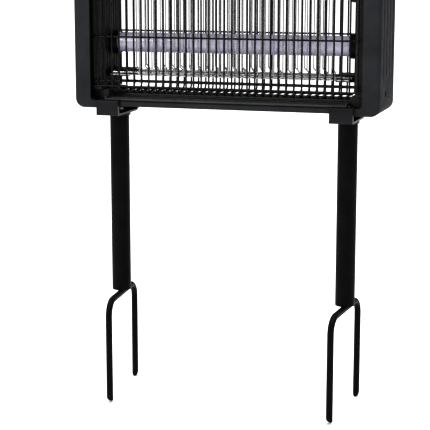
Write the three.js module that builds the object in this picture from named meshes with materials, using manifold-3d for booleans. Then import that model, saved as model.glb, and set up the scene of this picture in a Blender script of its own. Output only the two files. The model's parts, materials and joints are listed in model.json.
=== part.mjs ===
// Garden bug zapper: a rectangular lamp head with two ultraviolet tubes, high-voltage grids, a wire
// guard and an insect tray, clipped on two round legs that end in two-pronged ground forks.
// Millimetres. +X is the object's left-to-right width seen from the front, -Y is its front, +Z is up.
// The origin is on the soil line, midway between the two legs: the legs start there, the forks are below it.

import * as THREE from 'three';
import { mergeVertices } from 'three/addons/utils/BufferGeometryUtils.js';
import Module from 'manifold-3d';

const wasm = await Module();
wasm.setup();

// ---- driving dimensions -------------------------------------------------------------------------

const GAP = 0.3;                  // clearance between neighbouring pieces
const LEG_LENGTH = 240;
const LEG_SPACING = 308;          // between the axes of the two legs
const LEG_RADIUS = 12.7;
const LEG_WALL = 1.2;
const LEG_BACKSET = 40;           // from the head's front face back to the legs

const FORK_ROD_RADIUS = 4.4;
const FORK_SPREAD = 124;          // between the axes of a fork's two prongs
const FORK_BEND_RADIUS = 20;
const FORK_DEPTH = 142;           // from the soil line down to the prong tips
const FORK_SPLAY = 4.5;           // degrees that each fork's rear prong is turned outwards

const HEAD_WIDTH = 402;
const HEAD_DEPTH = 100;
const HEAD_HEIGHT = 265;          // above the bottom rails
const SHELL_WALL = 2.5;
const STILE_WIDTH = 22;           // of an end cap seen from the front
const CORNER_RADIUS = 12;
const EDGE_RADIUS = 5;
const RAIL_HEIGHT = 6.2;
const RAIL_DEPTH = 15;
const FOOT_DROP = 3;              // the end caps reach this far below the rails
const FOOT_INNER_X = 152;         // where an end cap's foot meets the rails
const HOUSING_HEIGHT = 45;        // of the electronics housing along the top

const BRACKET_WIDTH = 30;
const BRACKET_DROP = 12;          // from the rails down to the bracket's underside
const BRACKET_PLATE = 2.5;
const BRACKET_LIP_TOP = 7.7;      // of the hook over the rail

const INNER_WALL_X = 167.5;       // ribbed walls beside the tubes
const RIB_PROUD = 0.9;
const GUARD_PITCH = 10.1;
const GUARD_BARS = 35;
const GUARD_WIRE = 2.4;
const GUARD_RECESS = 8;
const GUARD_CROSS_HEIGHTS = { front: [32, 89, 154], rear: [33.5, 93, 158] };
const GUARD_EDGE_HEIGHT = 25.5;   // of the wire that joins the lower ends of the bars
const BOTTOM_BAR_LEVEL = 17.4;    // of the wires under the lamps
const GUARD_BEND = 6;

const TUBE_RADIUS = 12.9;         // T8 lamp
const TUBE_BODY_LENGTH = 331.5;   // between the faces of its two end caps
const TUBE_CAP_LENGTH = 11;
const TUBE_HEIGHTS = { lower: 80, upper: 150 };
const PIN_SPACING = 12.7;
const HOLDER_RADIUS = 15.5;

// The grids: planes are behind the head's front face, levels are of the lower rail or strip.
const GRID_PITCH = 12;            // between rods of one polarity
const GRID_ROD = 1.6;
const GRID_HALF_LENGTH = 160;
const LIVE_GRID = { plane: 31.5, level: 42, rods: 22, railRadius: 1.5 };
const RETURN_GRID = { plane: 26, level: 39.3, rods: 21, stripDepth: 6, stripThickness: 1.4 };
const STRIP_TAB = { from: 146, reach: 33.4 };
const GRID_ARM = { innerX: 139, front: 30, bottom: 36.5, top: 45.5, grooveEnd: 162 };

const TRAY = { halfWidth: 159.5, bottom: 8, rim: 12.6, front: 1, back: 91, sheet: 1.2 };
const TRAY_LIP = { depth: 4, height: 2.2 };
const TRAY_RIBS = { places: [22, 40, 58], width: 2.4, height: 0.8 };
const GUIDE = { bottom: -2.6, top: 20.3, inset: 17.8 };     // blocks that the tray slides between

// ---- derived levels -----------------------------------------------------------------------------

const headFront = -LEG_BACKSET;
const headBack = headFront + HEAD_DEPTH;
const headBase = LEG_LENGTH + GAP + BRACKET_DROP;      // underside of the rails
const headTop = headBase + HEAD_HEIGHT;
const housingBase = headTop - HOUSING_HEIGHT;
const halfWidth = HEAD_WIDTH / 2;
const stileInner = halfWidth - STILE_WIDTH;
const openingMiddle = (TUBE_HEIGHTS.lower + TUBE_HEIGHTS.upper) / 2;
const legX = LEG_SPACING / 2;
const tubeAxisY = headFront + HEAD_DEPTH / 2;

// Depth behind the head's front face, and height above its rails, as places in the object's frame.
const depth = (d) => headFront + d;
const height = (h) => headBase + h;

// ---- materials ----------------------------------------------------------------------------------

const paint = (color, roughness, metalness = 0) =>
  new THREE.MeshStandardMaterial({ color, roughness, metalness });

const housingPlastic = paint(0x2e3136, 0.42);
const innerPlastic = paint(0x1b1c1d, 0.55);
const guardCoating = paint(0x0e0e0f, 0.4);
const bracketPlastic = paint(0x26282c, 0.45);
const legCoating = paint(0x101011, 0.5);
const gridSteel = paint(0xc9cacb, 0.3, 0.9);
const insulator = paint(0x141415, 0.5);
const lampGlass = paint(0xb9b3da, 0.12);
const capMetal = paint(0xbfc2c4, 0.35, 0.9);
const trayCoating = paint(0x222428, 0.4);
const screwSteel = paint(0x55585c, 0.35, 0.85);
const coreSteel = paint(0x7c8084, 0.5, 0.7);
const boardLaminate = paint(0x4f6b3a, 0.6);
const leadSheath = paint(0xd8d4c8, 0.6);
const switchPlastic = paint(0x8c1414, 0.35);

// ---- geometry helpers ---------------------------------------------------------------------------

function signedVolume(geometry) {
  const corners = geometry.attributes.position;
  const order = geometry.index.array;
  const [a, b, c] = [new THREE.Vector3(), new THREE.Vector3(), new THREE.Vector3()];
  let total = 0;
  for (let i = 0; i < order.length; i += 3) {
    a.fromBufferAttribute(corners, order[i]);
    b.fromBufferAttribute(corners, order[i + 1]);
    c.fromBufferAttribute(corners, order[i + 2]);
    total += a.dot(b.cross(c)) / 6;
  }
  return total;
}

// One closed surface: shared corners merged and faces pointing out.
function closed(geometry) {
  const bare = geometry.clone();
  bare.deleteAttribute('normal');
  bare.deleteAttribute('uv');
  const merged = mergeVertices(bare, 1e-4);
  if (signedVolume(merged) < 0) {
    merged.setIndex(Array.from(merged.index.array).reverse());
  }
  return merged;
}

function toSolid(geometry) {
  const surface = closed(geometry);
  return new wasm.Manifold(new wasm.Mesh({
    numProp: 3,
    vertProperties: new Float32Array(surface.attributes.position.array),
    triVerts: new Uint32Array(surface.index.array),
  }));
}

function fromSolid(solid) {
  const mesh = solid.getMesh();
  const geometry = new THREE.BufferGeometry();
  geometry.setAttribute('position', new THREE.BufferAttribute(mesh.vertProperties, 3));
  geometry.setIndex(Array.from(mesh.triVerts));
  return geometry;
}

const join = (...pieces) => fromSolid(pieces.map(toSolid).reduce((all, one) => all.add(one)));
const cut = (body, ...tools) =>
  fromSolid(tools.map(toSolid).reduce((all, one) => all.subtract(one), toSolid(body)));
const common = (first, second) => fromSolid(toSolid(first).intersect(toSolid(second)));

function block([x0, x1], [y0, y1], [z0, z1]) {
  const geometry = new THREE.BoxGeometry(x1 - x0, y1 - y0, z1 - z0);
  return geometry.translate((x0 + x1) / 2, (y0 + y1) / 2, (z0 + z1) / 2);
}

const outline = (points) => new THREE.Shape(points.map(([u, v]) => new THREE.Vector2(u, v)));

function circlePoints(radius, sides) {
  return Array.from({ length: sides }, (_, i) => {
    const turn = ((i + 0.5) / sides) * 2 * Math.PI;
    return [radius * Math.cos(turn), radius * Math.sin(turn)];
  });
}

const CORNER_STEPS = 3;            // facets in a quarter turn

function extrude(shape, length) {
  const settings = { depth: length, bevelEnabled: false, curveSegments: CORNER_STEPS, steps: 1 };
  return new THREE.ExtrudeGeometry(shape, settings);
}

// Plan view outline (x, y), standing from z0 to z1.
const standing = (shape, [z0, z1]) => extrude(shape, z1 - z0).translate(0, 0, z0);

// Front view outline (x, z), reaching from y0 to y1.
const reaching = (shape, [y0, y1]) => extrude(shape, y1 - y0).rotateX(Math.PI / 2).translate(0, y1, 0);

// Side view outline (y, z), running from x0 to x1.
function running(shape, [x0, x1]) {
  const geometry = extrude(shape, x1 - x0);
  geometry.applyMatrix4(new THREE.Matrix4().set(0, 0, 1, 0, 1, 0, 0, 0, 0, 1, 0, 0, 0, 0, 0, 1));
  return geometry.translate(x0, 0, 0);
}

const disc = (radius, sides) => outline(circlePoints(radius, sides));
const rodAlongX = (radius, sides, range, y, z) => running(disc(radius, sides), range).translate(0, y, z);
const rodAlongY = (radius, sides, range, x, z) => reaching(disc(radius, sides), range).translate(x, 0, z);
const rodAlongZ = (radius, sides, range, x, y) => standing(disc(radius, sides), range).translate(x, y, 0);

// A turned piece: profile points are [radius, place along the axis]; it closes on itself or on the axis.
function turned(profile, sides) {
  return new THREE.LatheGeometry(profile.map(([r, h]) => new THREE.Vector2(r, h)), sides);
}

const quarter = Math.PI / 2;
const turnedAlongX = (profile, sides, y, z) => turned(profile, sides).rotateZ(-quarter).translate(0, y, z);
const turnedAlongY = (profile, sides, x, z) => turned(profile, sides).translate(x, 0, z);
const turnedAlongZ = (profile, sides, x, y) => turned(profile, sides).rotateX(quarter).translate(x, y, 0);

const mirrored = (geometry) => closed(geometry.clone().scale(-1, 1, 1));

function roundedRectangle([u0, u1], [v0, v1], radius) {
  const shape = new THREE.Shape();
  shape.moveTo(u0 + radius, v0);
  shape.lineTo(u1 - radius, v0);
  shape.absarc(u1 - radius, v0 + radius, radius, -Math.PI / 2, 0);
  shape.lineTo(u1, v1 - radius);
  shape.absarc(u1 - radius, v1 - radius, radius, 0, Math.PI / 2);
  shape.lineTo(u0 + radius, v1);
  shape.absarc(u0 + radius, v1 - radius, radius, Math.PI / 2, Math.PI);
  shape.lineTo(u0, v0 + radius);
  shape.absarc(u0 + radius, v0 + radius, radius, Math.PI, 1.5 * Math.PI);
  return shape;
}

// A path given by its stations only, so that straight stretches take one step and bends take several.
class StationPath extends THREE.Curve {
  constructor(stations) {
    super();
    this.stations = stations;
    this.steps = stations.length - 1;
  }

  station(u) {
    return Math.round(u * this.steps);
  }

  getPointAt(u) {
    return this.stations[this.station(u)].clone();
  }

  getPoint(u) {
    return this.getPointAt(u);
  }

  getTangentAt(u) {
    const i = this.station(u);
    const before = this.stations[Math.max(i - 1, 0)];
    const after = this.stations[Math.min(i + 1, this.steps)];
    return after.clone().sub(before).normalize();
  }
}

function swept(stations, radius, sides) {
  const path = new StationPath(stations);
  return new THREE.ExtrudeGeometry(disc(radius, sides), {
    steps: path.steps, bevelEnabled: false, extrudePath: path,
  });
}

// ---- the object ---------------------------------------------------------------------------------

const zapper = new THREE.Group();

function add(name, geometry, material) {
  const mesh = new THREE.Mesh(closed(geometry), material);
  mesh.name = name;
  zapper.add(mesh);
}

function addPair(name, rightGeometry, material) {
  add(`right_${name}`, rightGeometry, material);
  add(`left_${name}`, mirrored(rightGeometry), material);
}

// ---- head shells --------------------------------------------------------------------------------

const SCREW_DEPTH = 38;            // behind the head's front face
const SCREW_HEIGHTS = { lower: 23, upper: 242 };
const SCREW_RECESS_RADIUS = 4.3;
const SCREW_RECESS = 4;
const PILOT_RADIUS = 2;
const GROOVE_DEPTHS = [20, 40, 60, 80];
const GROOVE_WIDTH = 3;
const GROOVE_RANGE = [44, 218];

function screwPost(level) {
  const y = depth(SCREW_DEPTH);
  return rodAlongX(SCREW_RECESS_RADIUS + 2, 8, [stileInner + 1, halfWidth - 1], y, height(level));
}

function screwHole(level) {
  const [y, z] = [depth(SCREW_DEPTH), height(level)];
  const recess = rodAlongX(SCREW_RECESS_RADIUS, 8, [halfWidth - SCREW_RECESS, halfWidth + 1], y, z);
  const pilot = rodAlongX(PILOT_RADIUS, 6, [stileInner + 3, halfWidth], y, z);
  return [recess, pilot];
}

const INNER_FILLET = 6;            // between an end cap's foot and its stile
const STILE_OVERLAP = 5;

function endCapFoot([d0, d1]) {
  const filletTop = height(RAIL_HEIGHT + INNER_FILLET);
  const shape = new THREE.Shape();
  shape.moveTo(FOOT_INNER_X, height(-FOOT_DROP));
  shape.lineTo(stileInner + STILE_OVERLAP, height(-FOOT_DROP));
  shape.lineTo(stileInner + STILE_OVERLAP, filletTop);
  shape.lineTo(stileInner, filletTop);
  shape.absarc(stileInner - INNER_FILLET, filletTop, INNER_FILLET, 0, -quarter, true);
  shape.lineTo(FOOT_INNER_X, height(RAIL_HEIGHT));
  return reaching(shape, [depth(d0), depth(d1)]);
}

function endCap() {
  const levels = [height(-FOOT_DROP), headTop];
  const front = roundedRectangle([stileInner - 60, halfWidth], levels, CORNER_RADIUS);
  const plan = roundedRectangle([stileInner - 60, halfWidth], [headFront, headBack], EDGE_RADIUS);
  const rounded = common(
    reaching(front, [headFront, headBack]),
    standing(plan, [levels[0] - 1, levels[1] + 1]),
  );
  const inboard = block([0, stileInner], [headFront - 1, headBack + 1], [levels[0] - 1, levels[1] + 1]);
  const hollow = roundedRectangle(
    [stileInner - 60, halfWidth - SHELL_WALL],
    [levels[0] + SHELL_WALL, levels[1] - SHELL_WALL],
    CORNER_RADIUS - SHELL_WALL,
  );
  const cavity = reaching(hollow, [headFront + SHELL_WALL, headBack - SHELL_WALL]);
  const grooves = GROOVE_DEPTHS.map((d) => block(
    [halfWidth - 1, halfWidth + 1],
    [depth(d - GROOVE_WIDTH / 2), depth(d + GROOVE_WIDTH / 2)],
    GROOVE_RANGE.map(height),
  ));
  const posts = Object.values(SCREW_HEIGHTS).map(screwPost);
  const feet = [[0, RAIL_DEPTH], [HEAD_DEPTH - RAIL_DEPTH, HEAD_DEPTH]].map(endCapFoot);
  const shell = join(cut(rounded, inboard, cavity), ...posts, ...feet);
  return cut(shell, ...grooves, ...Object.values(SCREW_HEIGHTS).flatMap(screwHole));
}

function caseScrew(level) {
  const seat = halfWidth - SCREW_RECESS + GAP;
  const profile = [
    [0, seat - 12], [1.6, seat - 12], [1.6, seat], [3.8, seat], [3.4, seat + 2.2], [0, seat + 2.8],
  ];
  return turnedAlongX(profile, 8, depth(SCREW_DEPTH), height(level));
}

// A ribbed wall with a flange at its front and back edges, open towards the end cap behind it.
function innerPanel() {
  const outer = stileInner - 0.4;
  const back = INNER_WALL_X + 2;
  const [front, rear, flange] = [12, HEAD_DEPTH - 12, 2];
  const rib = { pitch: 8, first: 18, count: 9, width: 1.6 };
  const ribPlaces = Array.from({ length: rib.count }, (_, i) => rib.first + i * rib.pitch);
  const ribs = ribPlaces.flatMap((d) => [
    [INNER_WALL_X, d - rib.width / 2],
    [INNER_WALL_X - RIB_PROUD, d - rib.width / 2],
    [INNER_WALL_X - RIB_PROUD, d + rib.width / 2],
    [INNER_WALL_X, d + rib.width / 2],
  ]);
  const corners = [
    [outer, front], [INNER_WALL_X, front], ...ribs, [INNER_WALL_X, rear], [outer, rear],
    [outer, rear - flange], [back, rear - flange], [back, front + flange], [outer, front + flange],
  ];
  const shape = outline(corners.map(([x, d]) => [x, depth(d)]));
  const wall = standing(shape, [height(GUIDE.top + GAP), housingBase - GAP]);
  const lampHoles = Object.values(TUBE_HEIGHTS).map((level) =>
    rodAlongX(HOLDER_RADIUS + 2 * GAP, 12, [INNER_WALL_X - 3, back + 3], tubeAxisY, height(level)));
  return cut(wall, ...lampHoles);
}

const GUIDE_CORNER = 2.5;

// Block in each lower corner that the tray slides between.
function trayGuide() {
  const shape = roundedRectangle(
    [TRAY.halfWidth + 0.5, stileInner - 0.4],
    [height(GUIDE.bottom), height(GUIDE.top)],
    GUIDE_CORNER,
  );
  return reaching(shape, [depth(GUIDE.inset), depth(HEAD_DEPTH - GUIDE.inset)]);
}

const RAIL_RIB_HALF = 137;
const RAIL_RIBS = {
  front: { from: 3, to: 12, top: 7.6 },           // the tray runs over it
  rear: { from: 92.3, to: 97, top: 12 },          // the tray stops against it
};

function bottomRail([d0, d1], { from, to, top }) {
  const shape = roundedRectangle([depth(d0), depth(d1)], [height(0), height(RAIL_HEIGHT)], 1.2);
  const rail = running(shape, [-FOOT_INNER_X + GAP, FOOT_INNER_X - GAP]);
  const rib = block(
    [-RAIL_RIB_HALF, RAIL_RIB_HALF],
    [depth(from), depth(to)],
    [height(RAIL_HEIGHT - 1), height(top)],
  );
  return join(rail, rib);
}

// ---- electronics housing along the top ----------------------------------------------------------

const housingHalf = stileInner - GAP;
const coverBottom = headTop - SHELL_WALL;
const GLAND = { x: 120, level: 242, hole: 6.4 };
const SWITCH = { x: 60, level: 242, width: 14, tall: 21, sleeveWidth: 12.6, sleeveTall: 19.4 };

function topHousing() {
  const body = running(
    roundedRectangle([headFront, headBack], [housingBase, coverBottom - GAP], 1.5),
    [-housingHalf, housingHalf],
  );
  const hollow = block(
    [-housingHalf + SHELL_WALL, housingHalf - SHELL_WALL],
    [headFront + SHELL_WALL, headBack - SHELL_WALL],
    [housingBase + SHELL_WALL, headTop],
  );
  const glandHole = rodAlongY(GLAND.hole, 12, [headBack - 6, headBack + 6], GLAND.x, height(GLAND.level));
  const switchHole = block(
    [SWITCH.x - SWITCH.sleeveWidth / 2 - GAP, SWITCH.x + SWITCH.sleeveWidth / 2 + GAP],
    [headBack - 6, headBack + 6],
    [height(SWITCH.level) - SWITCH.sleeveTall / 2 - GAP, height(SWITCH.level) + SWITCH.sleeveTall / 2 + GAP],
  );
  return cut(body, hollow, glandHole, switchHole);
}

function topCover() {
  const plate = running(
    roundedRectangle([headFront, headBack], [coverBottom, headTop], 1),
    [-housingHalf, housingHalf],
  );
  const inset = SHELL_WALL + GAP;
  const rim = block(
    [-housingHalf + inset, housingHalf - inset],
    [headFront + inset, headBack - inset],
    [coverBottom - 3, coverBottom + 1],
  );
  const rimHollow = block(
    [-housingHalf + inset + 2, housingHalf - inset - 2],
    [headFront + inset + 2, headBack - inset - 2],
    [coverBottom - 4, coverBottom],
  );
  return join(plate, cut(rim, rimHollow));
}

const LUG = { x: 120, width: 22, thickness: 3, eyeHeight: 13, eyeRadius: 4.5, baseDepth: 18, base: 2.4 };

// Steel lug with an eye for a hook or chain, standing on the cover.
function hangingLug() {
  const bottom = headTop + GAP;
  const middle = depth(HEAD_DEPTH / 2);
  const half = LUG.width / 2;
  const shape = new THREE.Shape();
  shape.moveTo(LUG.x - half, bottom);
  shape.lineTo(LUG.x + half, bottom);
  shape.lineTo(LUG.x + half, bottom + LUG.eyeHeight);
  shape.absarc(LUG.x, bottom + LUG.eyeHeight, half, 0, Math.PI);
  const plate = reaching(shape, [middle - LUG.thickness / 2, middle + LUG.thickness / 2]);
  const eye = rodAlongY(LUG.eyeRadius, 10, [middle - 5, middle + 5], LUG.x, bottom + LUG.eyeHeight);
  const base = block(
    [LUG.x - half, LUG.x + half],
    [middle - LUG.baseDepth / 2, middle + LUG.baseDepth / 2],
    [bottom, bottom + LUG.base],
  );
  return cut(join(plate, base), eye);
}

// ---- what the housing holds ---------------------------------------------------------------------

const floorLevel = housingBase + SHELL_WALL + GAP;

const BALLAST = { x: [-150, -30], depth: [28, 68], tab: 12, tabHeight: 2, height: 28 };
const TRANSFORMER = {
  core: { x: [-5, 45], depth: [34, 66], height: 34 },
  winding: { x: [4, 36], depth: [27, 73], range: [7, 27] },
};
const BOARD = { x: [80, 150], depth: [20, 60], level: 4, thickness: 1.6 };
const CAPACITOR = { radius: 6, height: 19, firstX: 92, pitch: 20, depth: 32, count: 3 };
const TERMINALS = { x: [140, 170], depth: [70, 86], height: 10, towers: 3, towerWidth: 6, towerTop: 16 };

function ballast() {
  const { x: [x0, x1], tab, tabHeight } = BALLAST;
  const [tabTop, top] = [floorLevel + tabHeight, floorLevel + BALLAST.height];
  const shape = outline([
    [x0, floorLevel], [x1, floorLevel], [x1, tabTop], [x1 - tab, tabTop],
    [x1 - tab, top], [x0 + tab, top], [x0 + tab, tabTop], [x0, tabTop],
  ]);
  return reaching(shape, BALLAST.depth.map(depth));
}

function highVoltageTransformer() {
  const { core, winding } = TRANSFORMER;
  return join(
    block(core.x, core.depth.map(depth), [floorLevel, floorLevel + core.height]),
    block(winding.x, winding.depth.map(depth), winding.range.map((h) => floorLevel + h)),
  );
}

function multiplierBoard() {
  const underside = floorLevel + BOARD.level;
  const top = underside + BOARD.thickness;
  const board = block(BOARD.x, BOARD.depth.map(depth), [underside, top]);
  const capacitors = Array.from({ length: CAPACITOR.count }, (_, i) => rodAlongZ(
    CAPACITOR.radius, 8, [underside + 1, top + CAPACITOR.height],
    CAPACITOR.firstX + i * CAPACITOR.pitch, depth(CAPACITOR.depth),
  ));
  const post = rodAlongZ(3, 6, [floorLevel, underside + 1], 115, depth(50));
  return join(board, ...capacitors, post);
}

function terminalBlock() {
  const { x: [x0, x1], depth: [d0, d1], height: tall, towers, towerWidth, towerTop } = TERMINALS;
  const base = block([x0, x1], [depth(d0), depth(d1)], [floorLevel, floorLevel + tall]);
  const pitch = (x1 - x0) / towers;
  const upright = Array.from({ length: towers }, (_, i) => {
    const left = x0 + (i + 0.5) * pitch - towerWidth / 2;
    return block(
      [left, left + towerWidth],
      [depth(d0 + 3), depth(d1 - 3)],
      [floorLevel + tall - 1, floorLevel + towerTop],
    );
  });
  return join(base, ...upright);
}

// Cable gland through the rear wall: collar outside, thread inside, bore for the mains lead.
function cableGland() {
  const [inside, wallBack, bore, thread] = [headBack - 12, headBack + GAP, 3.4, 6];
  const profile = [
    [bore, inside], [thread, inside], [thread, wallBack], [9, wallBack],
    [9, wallBack + 5], [7, wallBack + 13], [bore, wallBack + 13], [bore, inside],
  ];
  return turnedAlongY(profile, 12, GLAND.x, height(GLAND.level));
}

const rockerPivot = { y: headBack - 2.5, z: height(SWITCH.level) };
const ROCKER_TILT = 7;            // degrees either side of the middle

function switchFrame() {
  const middle = height(SWITCH.level);
  const plate = block(
    [SWITCH.x - SWITCH.width / 2, SWITCH.x + SWITCH.width / 2],
    [headBack + GAP, headBack + 2],
    [middle - SWITCH.tall / 2, middle + SWITCH.tall / 2],
  );
  const sleeve = block(
    [SWITCH.x - SWITCH.sleeveWidth / 2, SWITCH.x + SWITCH.sleeveWidth / 2],
    [headBack - 16, headBack + 1],
    [middle - SWITCH.sleeveTall / 2, middle + SWITCH.sleeveTall / 2],
  );
  const well = block(
    [SWITCH.x - 5.3, SWITCH.x + 5.3], [headBack - 12, headBack + 4], [middle - 8.8, middle + 8.8],
  );
  return cut(join(plate, sleeve), well);
}

function rocker() {
  const shape = outline([[-7, -8], [3.6, -8], [2.6, 0], [3.6, 8], [-7, 8], [-5, 0]]);
  return running(shape, [SWITCH.x - 4.9, SWITCH.x + 4.9])
    .rotateX(THREE.MathUtils.degToRad(ROCKER_TILT))
    .translate(0, rockerPivot.y, rockerPivot.z);
}

const LEAD = { x: 188, radius: 2.2, top: 210 };

// Lead down an end cap from the ballast to the lamp holders.
function lampLead() {
  return rodAlongZ(LEAD.radius, 6, [height(TUBE_HEIGHTS.lower), height(LEAD.top)], LEAD.x, tubeAxisY);
}

// ---- lamps --------------------------------------------------------------------------------------

const HOLDER_FACE_X = TUBE_BODY_LENGTH / 2 - TUBE_CAP_LENGTH;
const PIN_LENGTH = 6.5;

// Cup through the ribbed wall that takes a lamp's end cap, with a smaller hollow behind it for the pins.
function lampHolder(level) {
  const seat = TUBE_BODY_LENGTH / 2 + 2 * GAP;
  const pinHollow = { radius: 9, end: seat + PIN_LENGTH + 1 };
  const back = pinHollow.end + 3;
  const cupRadius = TUBE_RADIUS + 0.5;
  const profile = [
    [cupRadius, HOLDER_FACE_X], [HOLDER_RADIUS, HOLDER_FACE_X], [HOLDER_RADIUS, back], [0, back],
    [0, pinHollow.end], [pinHollow.radius, pinHollow.end], [pinHollow.radius, seat],
    [cupRadius, seat], [cupRadius, HOLDER_FACE_X],
  ];
  return turnedAlongX(profile, 12, tubeAxisY, height(level));
}

// Lamp glass: a thin tube whose open ends are closed by the metal caps.
function lampGlassTube(level) {
  const half = HOLDER_FACE_X - GAP;
  const inner = TUBE_RADIUS - 1;
  const profile = [[inner, -half], [TUBE_RADIUS, -half], [TUBE_RADIUS, half], [inner, half], [inner, -half]];
  return turnedAlongX(profile, 16, tubeAxisY, height(level));
}

function lampCap(level) {
  const face = TUBE_BODY_LENGTH / 2;
  const body = rodAlongX(TUBE_RADIUS, 16, [HOLDER_FACE_X, face], tubeAxisY, height(level));
  const pins = [-1, 1].map((side) =>
    rodAlongX(1.2, 6, [face - 1, face + PIN_LENGTH], tubeAxisY, height(level) + side * PIN_SPACING / 2));
  return join(body, ...pins);
}

// ---- high-voltage grids -------------------------------------------------------------------------

// A level of the lower grid arms, or its mirror image at the upper ones.
const gridLevel = (h, upper) => height(upper ? 2 * openingMiddle - h : h);

function gridRange(low, high, upper) {
  return upper ? [gridLevel(high, true), gridLevel(low, true)] : [gridLevel(low), gridLevel(high)];
}

// Arm on an inner wall, grooved in front and behind for a live rail and for the tab of a return strip.
function gridArm(upper) {
  const arm = block(
    [GRID_ARM.innerX, INNER_WALL_X - RIB_PROUD - GAP],
    [depth(GRID_ARM.front), depth(HEAD_DEPTH - GRID_ARM.front)],
    gridRange(GRID_ARM.bottom, GRID_ARM.top, upper),
  );
  const room = 0.4;
  const railHalf = LIVE_GRID.railRadius + room;
  const tabHalf = RETURN_GRID.stripThickness / 2 + room;
  const grooves = [
    { from: GRID_ARM.innerX - 1, floor: LIVE_GRID.plane + railHalf, level: LIVE_GRID.level, half: railHalf },
    { from: STRIP_TAB.from - 2, floor: STRIP_TAB.reach + room, level: RETURN_GRID.level, half: tabHalf },
  ];
  const cuts = grooves.flatMap(({ from, floor, level, half }) => {
    const sides = [[GRID_ARM.front - 1, floor], [HEAD_DEPTH - floor, HEAD_DEPTH - GRID_ARM.front + 1]];
    return sides.map((range) =>
      block([from, GRID_ARM.grooveEnd], range.map(depth), gridRange(level - half, level + half, upper)));
  });
  return cut(arm, ...cuts);
}

function gridRods(y, rods, [z0, z1]) {
  const half = GRID_ROD / 2;
  const first = (-(rods - 1) / 2) * GRID_PITCH;
  return Array.from({ length: rods }, (_, i) => first + i * GRID_PITCH).map((x) =>
    block([x - half, x + half], [y - half, y + half], [z0, z1]));
}

// Upright rods between two round rails.
function liveGrid(plane) {
  const levels = [gridLevel(LIVE_GRID.level), gridLevel(LIVE_GRID.level, true)];
  const rails = levels.map((z) =>
    rodAlongX(LIVE_GRID.railRadius, 6, [-GRID_HALF_LENGTH, GRID_HALF_LENGTH], depth(plane), z));
  return join(...rails, ...gridRods(depth(plane), LIVE_GRID.rods, levels));
}

// Upright rods between two flat strips, each with a tab at both ends that reaches into the grid arms.
function returnGrid() {
  const { plane, level, rods, stripDepth, stripThickness } = RETURN_GRID;
  const half = stripThickness / 2;
  const strips = [false, true].flatMap((upper) => {
    const range = gridRange(level - half, level + half, upper);
    const strip = block(
      [-GRID_HALF_LENGTH, GRID_HALF_LENGTH],
      [depth(plane - stripDepth / 2), depth(plane + stripDepth / 2)],
      range,
    );
    const tabs = [[-GRID_HALF_LENGTH, -STRIP_TAB.from], [STRIP_TAB.from, GRID_HALF_LENGTH]].map((x) =>
      block(x, [depth(plane), depth(STRIP_TAB.reach)], range));
    return [strip, ...tabs];
  });
  return join(...strips, ...gridRods(depth(plane), rods, [gridLevel(level), gridLevel(level, true)]));
}

// The same piece turned to face the back of the head.
function turnedRound(geometry) {
  return closed(geometry.clone().rotateZ(Math.PI).translate(0, 2 * tubeAxisY, 0));
}

// ---- wire guard ---------------------------------------------------------------------------------

const guardPlaces = Array.from({ length: GUARD_BARS }, (_, i) => (i - (GUARD_BARS - 1) / 2) * GUARD_PITCH);
const guardHalfWire = GUARD_WIRE / 2;

const longWire = (y, z) => block(
  [-stileInner - 4, stileInner + 4],
  [y - guardHalfWire, y + guardHalfWire],
  [z - guardHalfWire, z + guardHalfWire],
);

// Flat grille of upright bars on an edge wire, with its cross wires on the side towards the lamps.
function flatGuard(plane, inwards, crossHeights) {
  const y = depth(plane);
  const edge = longWire(y, height(GUARD_EDGE_HEIGHT));
  const bars = guardPlaces.map((x) => block(
    [x - guardHalfWire, x + guardHalfWire],
    [y - guardHalfWire, y + guardHalfWire],
    [height(GUARD_EDGE_HEIGHT), housingBase - GAP],
  ));
  const crossWires = crossHeights.map((level) => longWire(y + inwards * (GUARD_WIRE - 0.4), height(level)));
  return join(edge, ...bars, ...crossWires);
}

// One bottom wire in side view: down from the front guard, back under the lamps, up to the rear guard.
function bottomWireOutline() {
  const [front, rear] = [depth(GUARD_RECESS), depth(HEAD_DEPTH - GUARD_RECESS)];
  const top = height(BOTTOM_BAR_LEVEL + GUARD_BEND);
  const bottom = height(BOTTOM_BAR_LEVEL);
  const cornerSteps = 2;
  const arc = (centre, radius, start) => Array.from({ length: cornerSteps + 1 }, (_, i) => {
    const turn = start + (i / cornerSteps) * (Math.PI / 2);
    return [centre + radius * Math.cos(turn), bottom + GUARD_BEND + radius * Math.sin(turn)];
  });
  const [frontCentre, rearCentre] = [front + GUARD_BEND, rear - GUARD_BEND];
  const [outer, inner] = [GUARD_BEND + guardHalfWire, GUARD_BEND - guardHalfWire];
  const underside = [...arc(frontCentre, outer, Math.PI), ...arc(rearCentre, outer, 1.5 * Math.PI)];
  const upperSide = [...arc(frontCentre, inner, Math.PI), ...arc(rearCentre, inner, 1.5 * Math.PI)].reverse();
  return outline([...underside, ...upperSide].map(([y, z]) => [y, Math.min(z, top)]));
}

function bottomGuard() {
  const wire = bottomWireOutline();
  const places = guardPlaces.filter((x) => Math.abs(x) < TRAY.halfWidth);
  const wires = places.map((x) => running(wire, [x - guardHalfWire, x + guardHalfWire]));
  const crossLevel = height(BOTTOM_BAR_LEVEL) + GUARD_WIRE - 0.4;
  const crossWire = block(
    [places[0] - 3, places.at(-1) + 3],
    [tubeAxisY - guardHalfWire, tubeAxisY + guardHalfWire],
    [crossLevel - guardHalfWire, crossLevel + guardHalfWire],
  );
  return join(crossWire, ...wires);
}

// ---- insect tray --------------------------------------------------------------------------------

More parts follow.
